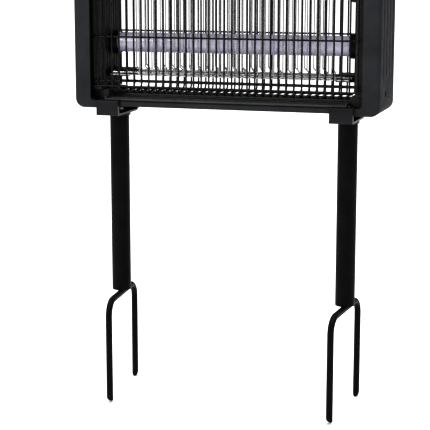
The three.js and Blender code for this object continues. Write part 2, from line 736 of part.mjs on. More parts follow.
// Shallow pan with a finger lip in front, low walls on the other sides and ribs across its floor.
function collectionTray() {
  const { halfWidth: half, bottom, rim, front, back, sheet } = TRAY;
  const floor = bottom + sheet;
  const ribs = TRAY_RIBS.places.toReversed().flatMap((d) => [
    [d + TRAY_RIBS.width / 2, floor], [d + TRAY_RIBS.width / 4, floor + TRAY_RIBS.height],
    [d - TRAY_RIBS.width / 4, floor + TRAY_RIBS.height], [d - TRAY_RIBS.width / 2, floor],
  ]);
  const lipBack = front + TRAY_LIP.depth;
  const side = [
    [front, bottom], [back, bottom], [back, rim], [back - sheet, rim], [back - sheet, floor], ...ribs,
    [lipBack, floor], [lipBack, bottom + TRAY_LIP.height], [front, bottom + TRAY_LIP.height],
  ];
  const pan = running(outline(side.map(([d, h]) => [depth(d), height(h)])), [-half, half]);
  const ends = [[-half, -half + sheet], [half - sheet, half]].map((range) =>
    block(range, [depth(front + 1), depth(back)], [height(bottom), height(rim)]));
  return join(pan, ...ends);
}

// ---- legs ---------------------------------------------------------------------------------------

const COLLAR_DROP = 3.5;
const COLLAR_RADIUS = 14.6;
const BOLT_RADIUS = 3;

// Clip in side view: hooks over the front rail, runs back under the head and up to the rear rail.
const BRACKET = {
  face: -5, hookBack: 2, hookEnd: 1.5, chamfer: 1.2,
  rampStart: 66, rampEnd: 80, tabEnd: 98,
};

function legBracket() {
  const underside = -BRACKET_DROP;
  const floor = underside + BRACKET_PLATE;
  const tabTop = -FOOT_DROP - 0.4;
  const tabUnder = tabTop - BRACKET_PLATE;
  const room = 0.4;
  const [hookInner, hookOuter] = [RAIL_DEPTH + room, RAIL_DEPTH + room + BRACKET.hookBack];
  const { face, hookEnd, chamfer, rampStart, rampEnd, tabEnd } = BRACKET;
  const shape = outline([
    [face, underside], [rampStart, underside], [rampEnd, tabUnder], [tabEnd, tabUnder], [tabEnd, tabTop],
    [rampEnd - 1, tabTop], [rampStart - 1, floor], [-room, floor], [-room, RAIL_HEIGHT + GAP],
    [hookInner, RAIL_HEIGHT + GAP], [hookInner, hookEnd], [hookOuter, hookEnd],
    [hookOuter, BRACKET_LIP_TOP], [face + chamfer, BRACKET_LIP_TOP], [face, BRACKET_LIP_TOP - chamfer],
  ].map(([d, h]) => [depth(d), height(h)]));
  const strap = running(shape, [legX - BRACKET_WIDTH / 2, legX + BRACKET_WIDTH / 2]);
  const collarEnd = underside - COLLAR_DROP;
  const collar = rodAlongZ(COLLAR_RADIUS, 16, [height(collarEnd), height(underside + 1)], legX, 0);
  const socket = rodAlongZ(LEG_RADIUS + GAP, 16, [height(collarEnd - 1), height(underside)], legX, 0);
  const boltHole = rodAlongZ(BOLT_RADIUS + GAP, 8, [height(underside - 1), height(floor + 1)], legX, 0);
  return cut(join(strap, collar), socket, boltHole);
}

function legTube() {
  const inner = LEG_RADIUS - LEG_WALL;
  const profile = [[inner, 0], [LEG_RADIUS, 0], [LEG_RADIUS, LEG_LENGTH], [inner, LEG_LENGTH], [inner, 0]];
  return turnedAlongZ(profile, 16, legX, 0);
}

// Plug in the top of a leg that takes the bracket's bolt.
function topPlug() {
  const radius = LEG_RADIUS - LEG_WALL - GAP;
  const body = rodAlongZ(radius, 12, [LEG_LENGTH - 24, LEG_LENGTH - 0.5], legX, 0);
  return cut(body, rodAlongZ(BOLT_RADIUS + GAP, 8, [LEG_LENGTH - 20, LEG_LENGTH + 1], legX, 0));
}

// Plug in the foot of a leg that the fork is welded to.
function forkPlug() {
  return rodAlongZ(LEG_RADIUS - LEG_WALL - GAP, 12, [0, 16], legX, 0);
}

function legBolt() {
  const seat = height(-BRACKET_DROP + BRACKET_PLATE) + GAP;
  const shank = rodAlongZ(BOLT_RADIUS, 8, [LEG_LENGTH - 18, seat + 1], legX, 0);
  const head = rodAlongZ(5.4, 6, [seat, seat + 4], legX, 0);
  return join(shank, head);
}

// Bent rod: two prongs joined by a bar that passes under the leg.
function groundFork() {
  const half = FORK_SPREAD / 2;
  const axisZ = -FORK_ROD_RADIUS - 0.35;
  const bendSteps = 4;
  const bend = (side) => Array.from({ length: bendSteps + 1 }, (_, i) => {
    const turn = (i / bendSteps) * (Math.PI / 2);
    const centre = half - FORK_BEND_RADIUS;
    return new THREE.Vector3(
      0,
      side * (centre + FORK_BEND_RADIUS * Math.cos(turn)),
      axisZ - FORK_BEND_RADIUS * (1 - Math.sin(turn)),
    );
  });
  const tip = (side) => new THREE.Vector3(0, side * half, -FORK_DEPTH);
  const rod = swept([tip(-1), ...bend(-1), ...bend(1).reverse(), tip(1)], FORK_ROD_RADIUS, 8);
  const slant = 0.95;              // radians that the tips are cut at
  const tipCuts = [-1, 1].map((side) => block([-10, 10], [-20, 20], [-14, 0])
    .rotateX(side * slant)
    .translate(0, side * half, FORK_ROD_RADIUS * Math.tan(slant) - FORK_DEPTH));
  return cut(rod, ...tipCuts)
    .rotateZ(THREE.MathUtils.degToRad(-FORK_SPLAY))
    .translate(legX, 0, 0);
}

// ---- assembly -----------------------------------------------------------------------------------

addPair('end_cap', endCap(), housingPlastic);
addPair('inner_panel', innerPanel(), innerPlastic);
addPair('tray_guide', trayGuide(), innerPlastic);
add('front_bottom_rail', bottomRail([0, RAIL_DEPTH], RAIL_RIBS.front), housingPlastic);
add('rear_bottom_rail', bottomRail([HEAD_DEPTH - RAIL_DEPTH, HEAD_DEPTH], RAIL_RIBS.rear), housingPlastic);
for (const [place, level] of Object.entries(SCREW_HEIGHTS)) {
  addPair(`${place}_case_screw`, caseScrew(level), screwSteel);
}

add('top_housing', topHousing(), housingPlastic);
add('top_cover', topCover(), housingPlastic);
addPair('hanging_lug', hangingLug(), screwSteel);
add('ballast', ballast(), coreSteel);
add('high_voltage_transformer', highVoltageTransformer(), coreSteel);
add('multiplier_board', multiplierBoard(), boardLaminate);
add('terminal_block', terminalBlock(), leadSheath);
add('cable_gland', cableGland(), insulator);
add('switch_frame', switchFrame(), insulator);
add('switch_rocker', rocker(), switchPlastic);
addPair('lamp_lead', lampLead(), leadSheath);

for (const [place, level] of Object.entries(TUBE_HEIGHTS)) {
  addPair(`${place}_lamp_holder`, lampHolder(level), insulator);
  add(`${place}_lamp_glass`, lampGlassTube(level), lampGlass);
  addPair(`${place}_lamp_cap`, lampCap(level), capMetal);
}

addPair('lower_grid_arm', gridArm(false), insulator);
addPair('upper_grid_arm', gridArm(true), insulator);
add('front_live_grid', liveGrid(LIVE_GRID.plane), gridSteel);
add('front_return_grid', returnGrid(), gridSteel);
add('rear_live_grid', liveGrid(HEAD_DEPTH - LIVE_GRID.plane), gridSteel);
add('rear_return_grid', turnedRound(returnGrid()), gridSteel);

add('front_guard', flatGuard(GUARD_RECESS, 1, GUARD_CROSS_HEIGHTS.front), guardCoating);
add('rear_guard', flatGuard(HEAD_DEPTH - GUARD_RECESS, -1, GUARD_CROSS_HEIGHTS.rear), guardCoating);
add('bottom_guard', bottomGuard(), guardCoating);
add('collection_tray', collectionTray(), trayCoating);

addPair('leg_bracket', legBracket(), bracketPlastic);
addPair('leg_bolt', legBolt(), screwSteel);
addPair('leg_tube', legTube(), legCoating);
addPair('leg_top_plug', topPlug(), insulator);
addPair('fork_plug', forkPlug(), legCoating);
addPair('ground_fork', groundFork(), legCoating);

export default zapper;
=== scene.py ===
"""Looks of the garden bug zapper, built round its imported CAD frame.

Shapes are drawn in millimetres in the frame's own axes (+X right, -Y front, +Z up, origin on the soil
line midway between the legs) and turned into metres when a piece is finished.
"""

import json
import math

import bmesh
import bpy
from mathutils import Matrix, Vector


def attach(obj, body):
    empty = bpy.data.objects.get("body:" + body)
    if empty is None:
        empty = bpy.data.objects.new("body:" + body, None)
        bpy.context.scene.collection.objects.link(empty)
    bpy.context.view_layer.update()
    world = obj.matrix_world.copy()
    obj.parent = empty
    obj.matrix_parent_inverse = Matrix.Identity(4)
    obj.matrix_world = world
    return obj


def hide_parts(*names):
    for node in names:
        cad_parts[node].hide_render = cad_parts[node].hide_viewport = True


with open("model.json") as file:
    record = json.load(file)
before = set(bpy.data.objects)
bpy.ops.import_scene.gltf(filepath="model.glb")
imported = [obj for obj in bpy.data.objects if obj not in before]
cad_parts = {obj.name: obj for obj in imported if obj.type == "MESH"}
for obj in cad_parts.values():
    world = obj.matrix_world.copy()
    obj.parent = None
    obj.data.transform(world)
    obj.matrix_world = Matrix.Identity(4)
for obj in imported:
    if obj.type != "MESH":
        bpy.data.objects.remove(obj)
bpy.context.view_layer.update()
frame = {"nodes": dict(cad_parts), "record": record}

# ---- dimensions, in millimetres and degrees ----

MM = 0.001
GAP = 0.3  # clearance between neighbouring pieces
STILE_GAP = 0.4  # clearance beside the end caps' stiles
CLEAR = 1  # how far a cutter reaches past the faces that it cuts
OVERLAP = 1  # how far solids that are joined run into each other

LEG_LENGTH = 240
LEG_X = 154
LEG_RADIUS = 12.7
LEG_WALL = 1.2
FORK_ROD_RADIUS = 4.3  # this, the spread and the depth lie a hair inside the frame's faceted fork
FORK_HALF_SPREAD = 61.85
FORK_DEPTH = 141.4
FORK_BEND = 20
FORK_GAP = 0.35  # between the leg's end and the fork's bar
FORK_SPLAY = 4.5  # how far the rear prong points outwards
FORK_TIP_SLANT = 0.95  # radians

HEAD_FRONT = -40
HEAD_DEPTH = 100
HEAD_BASE = 252.3  # underside of the bottom rails
HEAD_HEIGHT = 265
HALF_WIDTH = 201
STILE_INNER = 179
SHELL_WALL = 2.5
CORNER_RADIUS = 12
EDGE_RADIUS = 5
RAIL_HEIGHT = 6.2
RAIL_DEPTH = 15
FOOT_DROP = 3
FOOT_INNER_X = 152
FOOT_FILLET = 6
HOUSING_HEIGHT = 45

SCREW_DEPTH = 38
SCREW_HEIGHTS = {"lower": 23, "upper": 242}
SCREW_RECESS = {"radius": 4.3, "depth": 4, "wall": 2}
SCREW = {"shank": 1.6, "length": 12, "head": 3.8, "slot_floor": 1.2, "slot_length": 4.2, "slot_width": 0.8}
GROOVES = {"depths": (20, 40, 60, 80), "width": 3, "sunk": 1, "low": 44, "high": 218}

INNER_WALL_X = 167.5
WALL_THICKNESS = 2
WALL_DEPTHS = (12, 88)
WALL_CORNER = 0.8
WALL_RIB = {"first": 18, "pitch": 8, "count": 9, "width": 1.6, "proud": 0.9, "flank": 0.2, "corner": 0.35}
GUIDE = {"bottom": -2.6, "top": 20.3, "inset": 17.8, "corner": 2.5, "play": 0.5}
RAIL_CORNERS = (1.2, 1.2, 0.6, 1.4)  # radii from the lower outer edge round to the upper outer one
RAIL_RIB_HALF = 137
RAIL_RIBS = {"front": (3, 12, 7.6), "rear": (92.3, 97, 12)}  # from, to, top

HOUSING_CORNERS = (2.5, 2.5, 0.4, 0.4)  # radii from the lower front edge round to the upper front one
COVER_CORNERS = (0.3, 0.3, 2, 2)
COVER_RIM = {"wall": 2, "drop": 3}

BRACKET = {"width": 30, "drop": 12, "plate": 2.5, "front": -5, "rise": (66, 80), "end": 98, "play": 0.4}
BRACKET_HOOK = {"bottom": 1.5, "top": 7.7, "thickness": 2}
COLLAR_DROP = 3.5
COLLAR_RADIUS = 14.6
BOLT = {"radius": 3, "reach": 18, "head": 5.4, "head_height": 4}

GUARD_RADIUS = 1.2
GUARD_PITCH = 10.1
GUARD_BARS = 35
GUARD_PLANES = {"front": 8, "rear": 92}
GUARD_CROSS_HEIGHTS = {"front": (32, 89, 154), "rear": (33.5, 93, 158)}
GUARD_WELD = 2.0  # from a bar's axis to the axis of a wire welded across it
GUARD_EDGE_HEIGHT = 25.5
GUARD_BOTTOM = 17.4
GUARD_BEND = 6
GUARD_HOLD = 4  # how far the long wires reach into the end caps

LAMP_HEIGHTS = {"lower": 80, "upper": 150}
LAMP_RADIUS = 12.9
LAMP_DEPTH = 50
LAMP_FACE_X = 165.75  # outer face of a lamp cap
LAMP_CAP_LENGTH = 11
PIN_SPACING = 12.7
PIN_LENGTH = 6.5
PIN_RADIUS = 1.2
HOLDER = {"radius": 15.5, "play": 0.5, "rim": 0.7, "pin_room": 9, "back": 3}

GRID_PITCH = 12
GRID_ROD_RADIUS = 0.8
GRID_HALF_LENGTH = 160
LIVE_GRID = {"plane": 31.5, "level": 42, "rods": 22, "rail": 1.5}
LIVE_FOOT = {"top": 50, "bottom": 45, "shift": 5, "bend": 1.6}
RETURN_GRID = {"plane": 26, "level": 39.3, "rods": 21, "strip_depth": 6, "strip": 1.4}
STRIP_TAB = {"start": 146, "reach": 33.4, "corner": 0.8}

TRAY = {"half": 159.5, "bottom": 8, "rim": 12.6, "front": 1, "back": 91, "sheet": 1.2}
TRAY_LIP = {"depth": 4, "height": 2.2}
TRAY_RIBS = {"places": (22, 40, 58), "width": 2.4, "height": 0.8}

GLAND = {"x": 120, "level": 242, "bore": 3.4, "thread": 6, "hole": 6.4, "inside": 12, "outside": 13}
GLAND_COLLAR = {"radius": 9, "length": 5, "chamfer": 0.4}
GLAND_RIDGES = {"count": 4, "first": 5.4, "pitch": 1.8, "radius": 8.1, "taper": 0.35, "height": 0.6}
SWITCH = {"x": 60, "level": 242}
SWITCH_PLATE = {"width": 14, "tall": 21, "top": 2, "corner": 1.5}
SWITCH_SLEEVE = {"width": 12.6, "tall": 19.4, "depth": 16}
SWITCH_WELL = {"width": 10.6, "tall": 17.6, "depth": 12}
ROCKER = {"width": 9.8, "half_tall": 8, "back": -7, "waist": -5, "crown": 3.6, "dip": 1, "pivot": 2.5}
ROCKER_TILT = 7
LUG = {"x": 120, "width": 22, "thickness": 3, "eye_height": 13, "eye": 4.5}
LUG_BASE = {"depth": 18, "height": 2.4, "corner": 3}

HEAD_BACK = HEAD_FRONT + HEAD_DEPTH
HEAD_TOP = HEAD_BASE + HEAD_HEIGHT
HOUSING_BASE = HEAD_TOP - HOUSING_HEIGHT
HOUSING_HALF = STILE_INNER - GAP
COVER_BOTTOM = HEAD_TOP - SHELL_WALL
LAMP_Y = HEAD_FRONT + LAMP_DEPTH
LAMP_MIDDLE = sum(LAMP_HEIGHTS.values()) / 2

ROUND_SIDES = 64  # of turned pieces that are seen from near
WIRE_SIDES = 10
ARC_STEPS = 6
SHARP_ANGLE = math.radians(35)  # edges sharper than this are rounded
STEEP_ANGLE = math.radians(50)  # the same where gentler bends stay as they are
SMOOTH_BELOW = math.radians(38)
KEPT_EDGE = 0.3  # rounding of the CAD nodes that stay
FLOOR_WIDTH = 60000


def depth(d):
    """Y of a place d behind the head's front face."""
    return HEAD_FRONT + d


def height(h):
    """Z of a place h above the underside of the bottom rails."""
    return HEAD_BASE + h


def about(middle, size):
    """Span of a size, centred on a place."""
    return middle - size / 2, middle + size / 2


# ---- outlines and paths ----

def corner_arc(before, corner, after, radius, steps):
    """Points that round off one corner of a path with an arc."""
    if radius == 0:
        return [corner]
    back = (before - corner).normalized()
    onward = (after - corner).normalized()
    half_angle = back.angle(onward) / 2
    centre = corner + (back + onward).normalized() * (radius / math.sin(half_angle))
    reach = radius / math.tan(half_angle)
    start = (corner + back * reach - centre).normalized()
    end = (corner + onward * reach - centre).normalized()
    return [centre + start.slerp(end, step / steps) * radius for step in range(steps + 1)]


def filleted(corners, steps=ARC_STEPS):
    """Closed outline from corners (u, v, radius)."""
    places = [Vector(corner[:2]) for corner in corners]
    points = []
    for i, corner in enumerate(corners):
        after = places[(i + 1) % len(places)]
        points += corner_arc(places[i - 1], places[i], after, corner[2], steps)
    return points


def rounded_rectangle(u, v, *radii):
    """Outline of a rectangle from u[0] to u[1] and v[0] to v[1]; one radius, or one for each corner."""
    places = [(u[0], v[0]), (u[1], v[0]), (u[1], v[1]), (u[0], v[1])]
    each = radii if len(radii) == len(places) else radii * len(places)
    return filleted([(*place, radius) for place, radius in zip(places, each)])


def rounded_path(corners, radius, steps=ARC_STEPS):
    """Open path through the corners, each inner corner rounded to the same radius."""
    places = [Vector(corner) for corner in corners]
    path = [places[0]]
    for before, corner, after in zip(places, places[1:], places[2:]):
        path += corner_arc(before, corner, after, radius, steps)
    return path + [places[-1]]


# ---- solids ----

ORIGIN = Vector((0, 0, 0))
X_AXIS = Vector((1, 0, 0))
Y_AXIS = Vector((0, 1, 0))
Z_AXIS = Vector((0, 0, 1))
PLANES = {"X": (X_AXIS, Y_AXIS, Z_AXIS), "Y": (Y_AXIS, X_AXIS, Z_AXIS), "Z": (Z_AXIS, X_AXIS, Y_AXIS)}


def bridge(bm, first, second):
    """Faces between two rings of vertices; a ring of one vertex is a point on the axis."""
    count = max(len(first), len(second))
    for i in range(count):
        j = (i + 1) % count
        near, far = first[i % len(first)], first[j % len(first)]
        distinct = list(dict.fromkeys([near, far, second[j % len(second)], second[i % len(second)]]))
        if len(distinct) > 2:
            bm.faces.new(distinct)


def add_loft(bm, sections, axis):
    """Solid through sections (place along the axis, outline); u and v are the other two axes in order."""
    along, across, up = PLANES[axis]
    rings = [[bm.verts.new(along * place + across * u + up * v) for u, v in outline]
             for place, outline in sections]
    for first, second in zip(rings, rings[1:]):
        bridge(bm, first, second)
    bm.faces.new(rings[0])
    bm.faces.new(list(reversed(rings[-1])))


def add_prism(bm, outline, axis, span):
    add_loft(bm, [(place, outline) for place in span], axis)


def add_box(bm, x, y, z):
    """Plain box, for cutters and for bodies whose edges are rounded afterwards."""
    add_prism(bm, [(x[0], y[0]), (x[1], y[0]), (x[1], y[1]), (x[0], y[1])], "Z", z)


def add_turned(bm, profile, axis, centre, sides=ROUND_SIDES):
    """Solid of revolution from (radius, place along the axis) points; it may close on itself."""
    along, across, up = PLANES[axis]
    origin = Vector(centre)
    closed = profile[0] == profile[-1]
    rings = []
    for radius, place in profile[:-1] if closed else profile:
        turns = [2 * math.pi * i / sides for i in range(sides)] if radius > 0 else [0]
        rings.append([
            bm.verts.new(origin + along * place + (across * math.cos(t) + up * math.sin(t)) * radius)
            for t in turns
        ])
    following = rings[1:] + rings[:1] if closed else rings[1:]
    for first, second in zip(rings, following):
        bridge(bm, first, second)


def add_rod(bm, path, radius, sides=WIRE_SIDES):
    """Round rod along a path, closed at both ends."""
    path = [Vector(place) for place in path]
    tangents = [(path[1] - path[0]).normalized()]
    for before, after in zip(path, path[2:]):
        tangents.append((after - before).normalized())
    tangents.append((path[-1] - path[-2]).normalized())
    side = tangents[0].orthogonal().normalized()
    rings = []
    for i, (place, tangent) in enumerate(zip(path, tangents)):
        if i:
            side.rotate(tangents[i - 1].rotation_difference(tangent))
        up = tangent.cross(side)
        rings.append([
            bm.verts.new(place + (side * math.cos(t) + up * math.sin(t)) * radius)
            for t in (2 * math.pi * k / sides for k in range(sides))
        ])
    for first, second in zip(rings, rings[1:]):
        bridge(bm, first, second)
    bm.faces.new(list(reversed(rings[0])))
    bm.faces.new(rings[-1])


def add_object(name, data):
    """New object in the scene that shows a mesh, a light or a camera."""
    made = bpy.data.objects.new(name, data)
    bpy.context.collection.objects.link(made)
    return made


def solid(*builders):
    """Object in millimetres whose closed shapes are added by functions that take a bmesh."""
    bm = bmesh.new()
    for build in builders:
        build(bm)
    bmesh.ops.recalc_face_normals(bm, faces=bm.faces)
    mesh = bpy.data.meshes.new("solid")
    bm.to_mesh(mesh)
    bm.free()
    return add_object("solid", mesh)


def prism(outline, axis, span):
    return solid(lambda bm: add_prism(bm, outline, axis, span))


def box(x, y, z):
    return solid(lambda bm: add_box(bm, x, y, z))


def turned(profile, axis, centre, sides=ROUND_SIDES):
    return solid(lambda bm: add_turned(bm, profile, axis, centre, sides))


def cylinder(radius, axis, span, centre, sides=ROUND_SIDES):
    return turned([(0, span[0]), (radius, span[0]), (radius, span[1]), (0, span[1])], axis, centre, sides)


def bake(body):
    """Turns an object's modifiers into plain mesh."""
    shown = body.evaluated_get(bpy.context.evaluated_depsgraph_get())
    mesh = bpy.data.meshes.new_from_object(shown)
    plain = body.data
    body.modifiers.clear()
    body.data = mesh
    bpy.data.meshes.remove(plain)
    return body


def combined(operation, body, tools):
    """The body after a boolean with each tool in turn; the tools are used up."""
    for tool in tools:
        modifier = body.modifiers.new("combine", "BOOLEAN")
        modifier.operation = operation
        modifier.solver = "EXACT"
        modifier.object = tool
    bake(body)
    for tool in tools:
        bpy.data.objects.remove(tool)
    return body


def cut(body, *tools):
    return combined("DIFFERENCE", body, tools)


def join(body, *tools):
    return combined("UNION", body, tools)


def round_edges(body, width, segments=3, angle=SHARP_ANGLE):
    """Modifier that rounds every edge sharper than an angle."""
    modifier = body.modifiers.new("edges", "BEVEL")
    modifier.width = width
    modifier.segments = segments
    modifier.limit_method = "ANGLE"
    modifier.angle_limit = angle
    modifier.use_clamp_overlap = True


def edged(body, **rounding):
    """The body with its sharp edges rounded for good."""
    round_edges(body, **rounding)
    return bake(body)


def reflected(body, axis, centre=ORIGIN):
    """The same solid mirrored along an axis, across a point."""
    twin = add_object(body.name, body.data.copy())
    twin.data.transform(Matrix.Translation(centre) @ Matrix.Scale(-1, 4, axis) @ Matrix.Translation(-centre))
    twin.data.flip_normals()
    return twin


# ---- materials ----

class Finish:
    """A node material with a Principled shader and a few ways of varying it over the surface."""

    def __init__(self, name, colour, roughness, metallic=0.0):
        self.material = bpy.data.materials.new(name)
        self.material.use_nodes = True
        self.tree = self.material.node_tree
        self.shader = self.tree.nodes["Principled BSDF"]
        self.shader.inputs["Base Color"].default_value = (*colour, 1)
        self.shader.inputs["Roughness"].default_value = roughness
        self.shader.inputs["Metallic"].default_value = metallic
        self.colour = colour
        self.place = self.tree.nodes.new("ShaderNodeTexCoord").outputs["Object"]
        self.height = None

    def node(self, kind, **settings):
        made = self.tree.nodes.new(kind)
        for setting, value in settings.items():
            setattr(made, setting, value)
        return made

    def link(self, source, target):
        self.tree.links.new(source, target)

    def stretched(self, scale):
        """Object coordinates stretched, for grain that runs along one axis."""
        mapping = self.node("ShaderNodeMapping")
        mapping.inputs["Scale"].default_value = scale
        self.link(self.place, mapping.inputs["Vector"])
        return mapping.outputs["Vector"]

    def noise(self, size, detail=3.0, place=None):
        """Noise whose features are about a size in millimetres."""
        texture = self.node("ShaderNodeTexNoise")
        texture.inputs["Scale"].default_value = 1 / (size * MM)
        texture.inputs["Detail"].default_value = detail
        self.link(place or self.place, texture.inputs["Vector"])
        return texture.outputs["Fac"]

    def cells(self, size):
        """Cell pattern whose features are about a size in millimetres."""
        texture = self.node("ShaderNodeTexVoronoi")
        texture.inputs["Scale"].default_value = 1 / (size * MM)
        self.link(self.place, texture.inputs["Vector"])
        return texture.outputs["Distance"]

    def span(self, value, low, high, start=0.3, stop=0.7):
        """Maps a pattern value onto a range."""
        ramp = self.node("ShaderNodeMapRange")
        for socket, number in (("From Min", start), ("From Max", stop), ("To Min", low), ("To Max", high)):
            ramp.inputs[socket].default_value = number
        self.link(value, ramp.inputs["Value"])
        return ramp.outputs["Result"]

    def mixed(self, factor, first, second):
        """Colour between two colours; either may be another node's output."""
        mix = self.node("ShaderNodeMix", data_type="RGBA")
        self.link(factor, mix.inputs["Factor"])
        for socket, colour in ((mix.inputs[6], first), (mix.inputs[7], second)):
            if isinstance(colour, bpy.types.NodeSocket):
                self.link(colour, socket)
            else:
                socket.default_value = (*colour, 1)
        return mix.outputs[2]

    def tinted(self, by):
        return tuple(channel * by for channel in self.colour)

    def vary_colour(self, value, dark, light):
        """Shades the base colour between two multiples of itself."""
        shade = self.mixed(self.span(value, 0, 1), self.tinted(dark), self.tinted(light))
        self.link(shade, self.shader.inputs["Base Color"])
        return shade

    def vary_roughness(self, value, low, high):
        self.link(self.span(value, low, high), self.shader.inputs["Roughness"])

    def relief(self, value, distance, strength=1.0):
        """Adds a bump of a height in millimetres on top of the ones before it."""
        bump = self.node("ShaderNodeBump")
        bump.inputs["Strength"].default_value = strength
        bump.inputs["Distance"].default_value = distance * MM
        self.link(value, bump.inputs["Height"])
        if self.height:
            self.link(self.height, bump.inputs["Normal"])
        self.height = bump.outputs["Normal"]
        self.link(self.height, self.shader.inputs["Normal"])

    def dust(self, shade, colour, most):
        """A little pale dust that lies on upward faces, in patches."""
        normal = self.node("ShaderNodeSeparateXYZ")
        self.link(self.node("ShaderNodeNewGeometry").outputs["Normal"], normal.inputs["Vector"])
        facing_up = self.span(normal.outputs["Z"], 0, most, start=0.5, stop=1.0)
        patches = self.node("ShaderNodeMath", operation="MULTIPLY")
        self.link(facing_up, patches.inputs[0])
        self.link(self.noise(14, 5), patches.inputs[1])
        self.link(self.mixed(patches.outputs["Value"], shade, colour), self.shader.inputs["Base Color"])


DUST = (0.20, 0.19, 0.17)


def moulded_plastic(name, colour, roughness, gloss=0.25, grain=0.45, relief=0.018, dust=0.08):
    """Satin moulded plastic: fine spark-eroded grain, slow changes of shade and gloss, a trace of dust."""
    finish = Finish(name, colour, roughness)
    finish.shader.inputs["Specular IOR Level"].default_value = gloss
    shade = finish.vary_colour(finish.noise(28, 5), 0.86, 1.14)
    finish.dust(shade, DUST, dust)
    finish.vary_roughness(finish.noise(9, 6), roughness - 0.05, roughness + 0.07)
    finish.relief(finish.cells(grain), relief)
    finish.relief(finish.noise(30, 2), 0.08, 0.35)
    return finish.material


def powder_coat(name, colour, roughness, gloss, peel=1.6):
    """Powder coat: orange-peel waviness, fine sparkle of gloss, faint rubbed patches."""
    finish = Finish(name, colour, roughness)
    finish.shader.inputs["Specular IOR Level"].default_value = gloss
    shade = finish.vary_colour(finish.noise(22, 6), 0.8, 1.35)
    finish.dust(shade, DUST, 0.05)
    finish.vary_roughness(finish.noise(4, 6), roughness - 0.06, roughness + 0.08)
    finish.relief(finish.noise(peel, 2), 0.03)
    finish.relief(finish.noise(0.4, 1), 0.006)
    return finish.material


def drawn_steel(name, colour, roughness, along=(1, 1, 0.04)):
    """Bright drawn wire or sheet: streaks along its length and slightly duller patches."""
    finish = Finish(name, colour, roughness, metallic=1.0)
    streaks = finish.noise(0.35, 4, finish.stretched(along))
    finish.vary_colour(finish.noise(17, 5), 0.82, 1.08)
    finish.vary_roughness(streaks, roughness - 0.08, roughness + 0.12)
    finish.relief(streaks, 0.008)
    return finish.material


def phosphor_glass(name, colour):
    """Unlit lamp: powdery phosphor seen through clear glass, greyer towards the two electrodes."""
    finish = Finish(name, colour, 0.42)
    ends = finish.node("ShaderNodeSeparateXYZ")
    finish.link(finish.place, ends.inputs["Vector"])
    away = finish.node("ShaderNodeMath", operation="ABSOLUTE")
    finish.link(ends.outputs["X"], away.inputs[0])
    powder = finish.vary_colour(finish.noise(6, 6), 0.96, 1.05)
    greyed = finish.mixed(
        finish.span(away.outputs["Value"], 0, 0.5, start=0.128, stop=0.156), powder, finish.tinted(0.55),
    )
    finish.link(greyed, finish.shader.inputs["Base Color"])
    finish.shader.inputs["Coat Weight"].default_value = 1.0
    finish.shader.inputs["Coat Roughness"].default_value = 0.04
    finish.relief(finish.noise(60, 1), 0.05, 0.3)
    return finish.material


def pressed_aluminium(name, colour):
    """Lamp caps: soft metal with fine turning marks and a little tarnish."""
    finish = Finish(name, colour, 0.36, metallic=1.0)
    marks = finish.noise(0.3, 3, finish.stretched((8, 1, 1)))
    finish.vary_colour(finish.noise(5, 5), 0.75, 1.05)
    finish.vary_roughness(marks, 0.28, 0.48)
    finish.relief(marks, 0.01)
    return finish.material


def laminated_core(name, colour):
    """Stacked steel sheets under a thin lacquer: fine parallel lines."""
    finish = Finish(name, colour, 0.45, metallic=0.6)
    stack = finish.node("ShaderNodeTexWave", wave_type="BANDS", bands_direction="Y")
    stack.inputs["Scale"].default_value = 300
    stack.inputs["Distortion"].default_value = 0.4
    finish.link(finish.place, stack.inputs["Vector"])
    finish.vary_colour(stack.outputs["Fac"], 0.6, 1.15)
    finish.vary_roughness(finish.noise(7, 5), 0.35, 0.6)
    finish.relief(stack.outputs["Fac"], 0.06)
    return finish.material


def circuit_board(name, colour):
    """Glass-fibre laminate: a fine weave under green varnish."""
    finish = Finish(name, colour, 0.4)
    finish.vary_colour(finish.cells(0.9), 0.75, 1.2)
    finish.vary_roughness(finish.noise(6, 4), 0.3, 0.5)
    finish.relief(finish.cells(0.6), 0.02)
    return finish.material


def gloss_plastic(name, colour):
    """Glossy switch plastic with faint handling marks."""
    finish = Finish(name, colour, 0.2)
    finish.vary_colour(finish.noise(8, 4), 0.9, 1.08)
    finish.vary_roughness(finish.noise(3, 8), 0.14, 0.32)
    finish.relief(finish.noise(12, 2), 0.03, 0.4)
    return finish.material


def floor_paper(name, colour):
    """Pale studio paper with a barely visible tooth."""
    finish = Finish(name, colour, 0.85)
    finish.vary_colour(finish.noise(180, 4), 0.985, 1.01)
    finish.vary_roughness(finish.noise(30, 4), 0.8, 0.92)
    finish.relief(finish.noise(2.5, 4), 0.05, 0.5)
    return finish.material


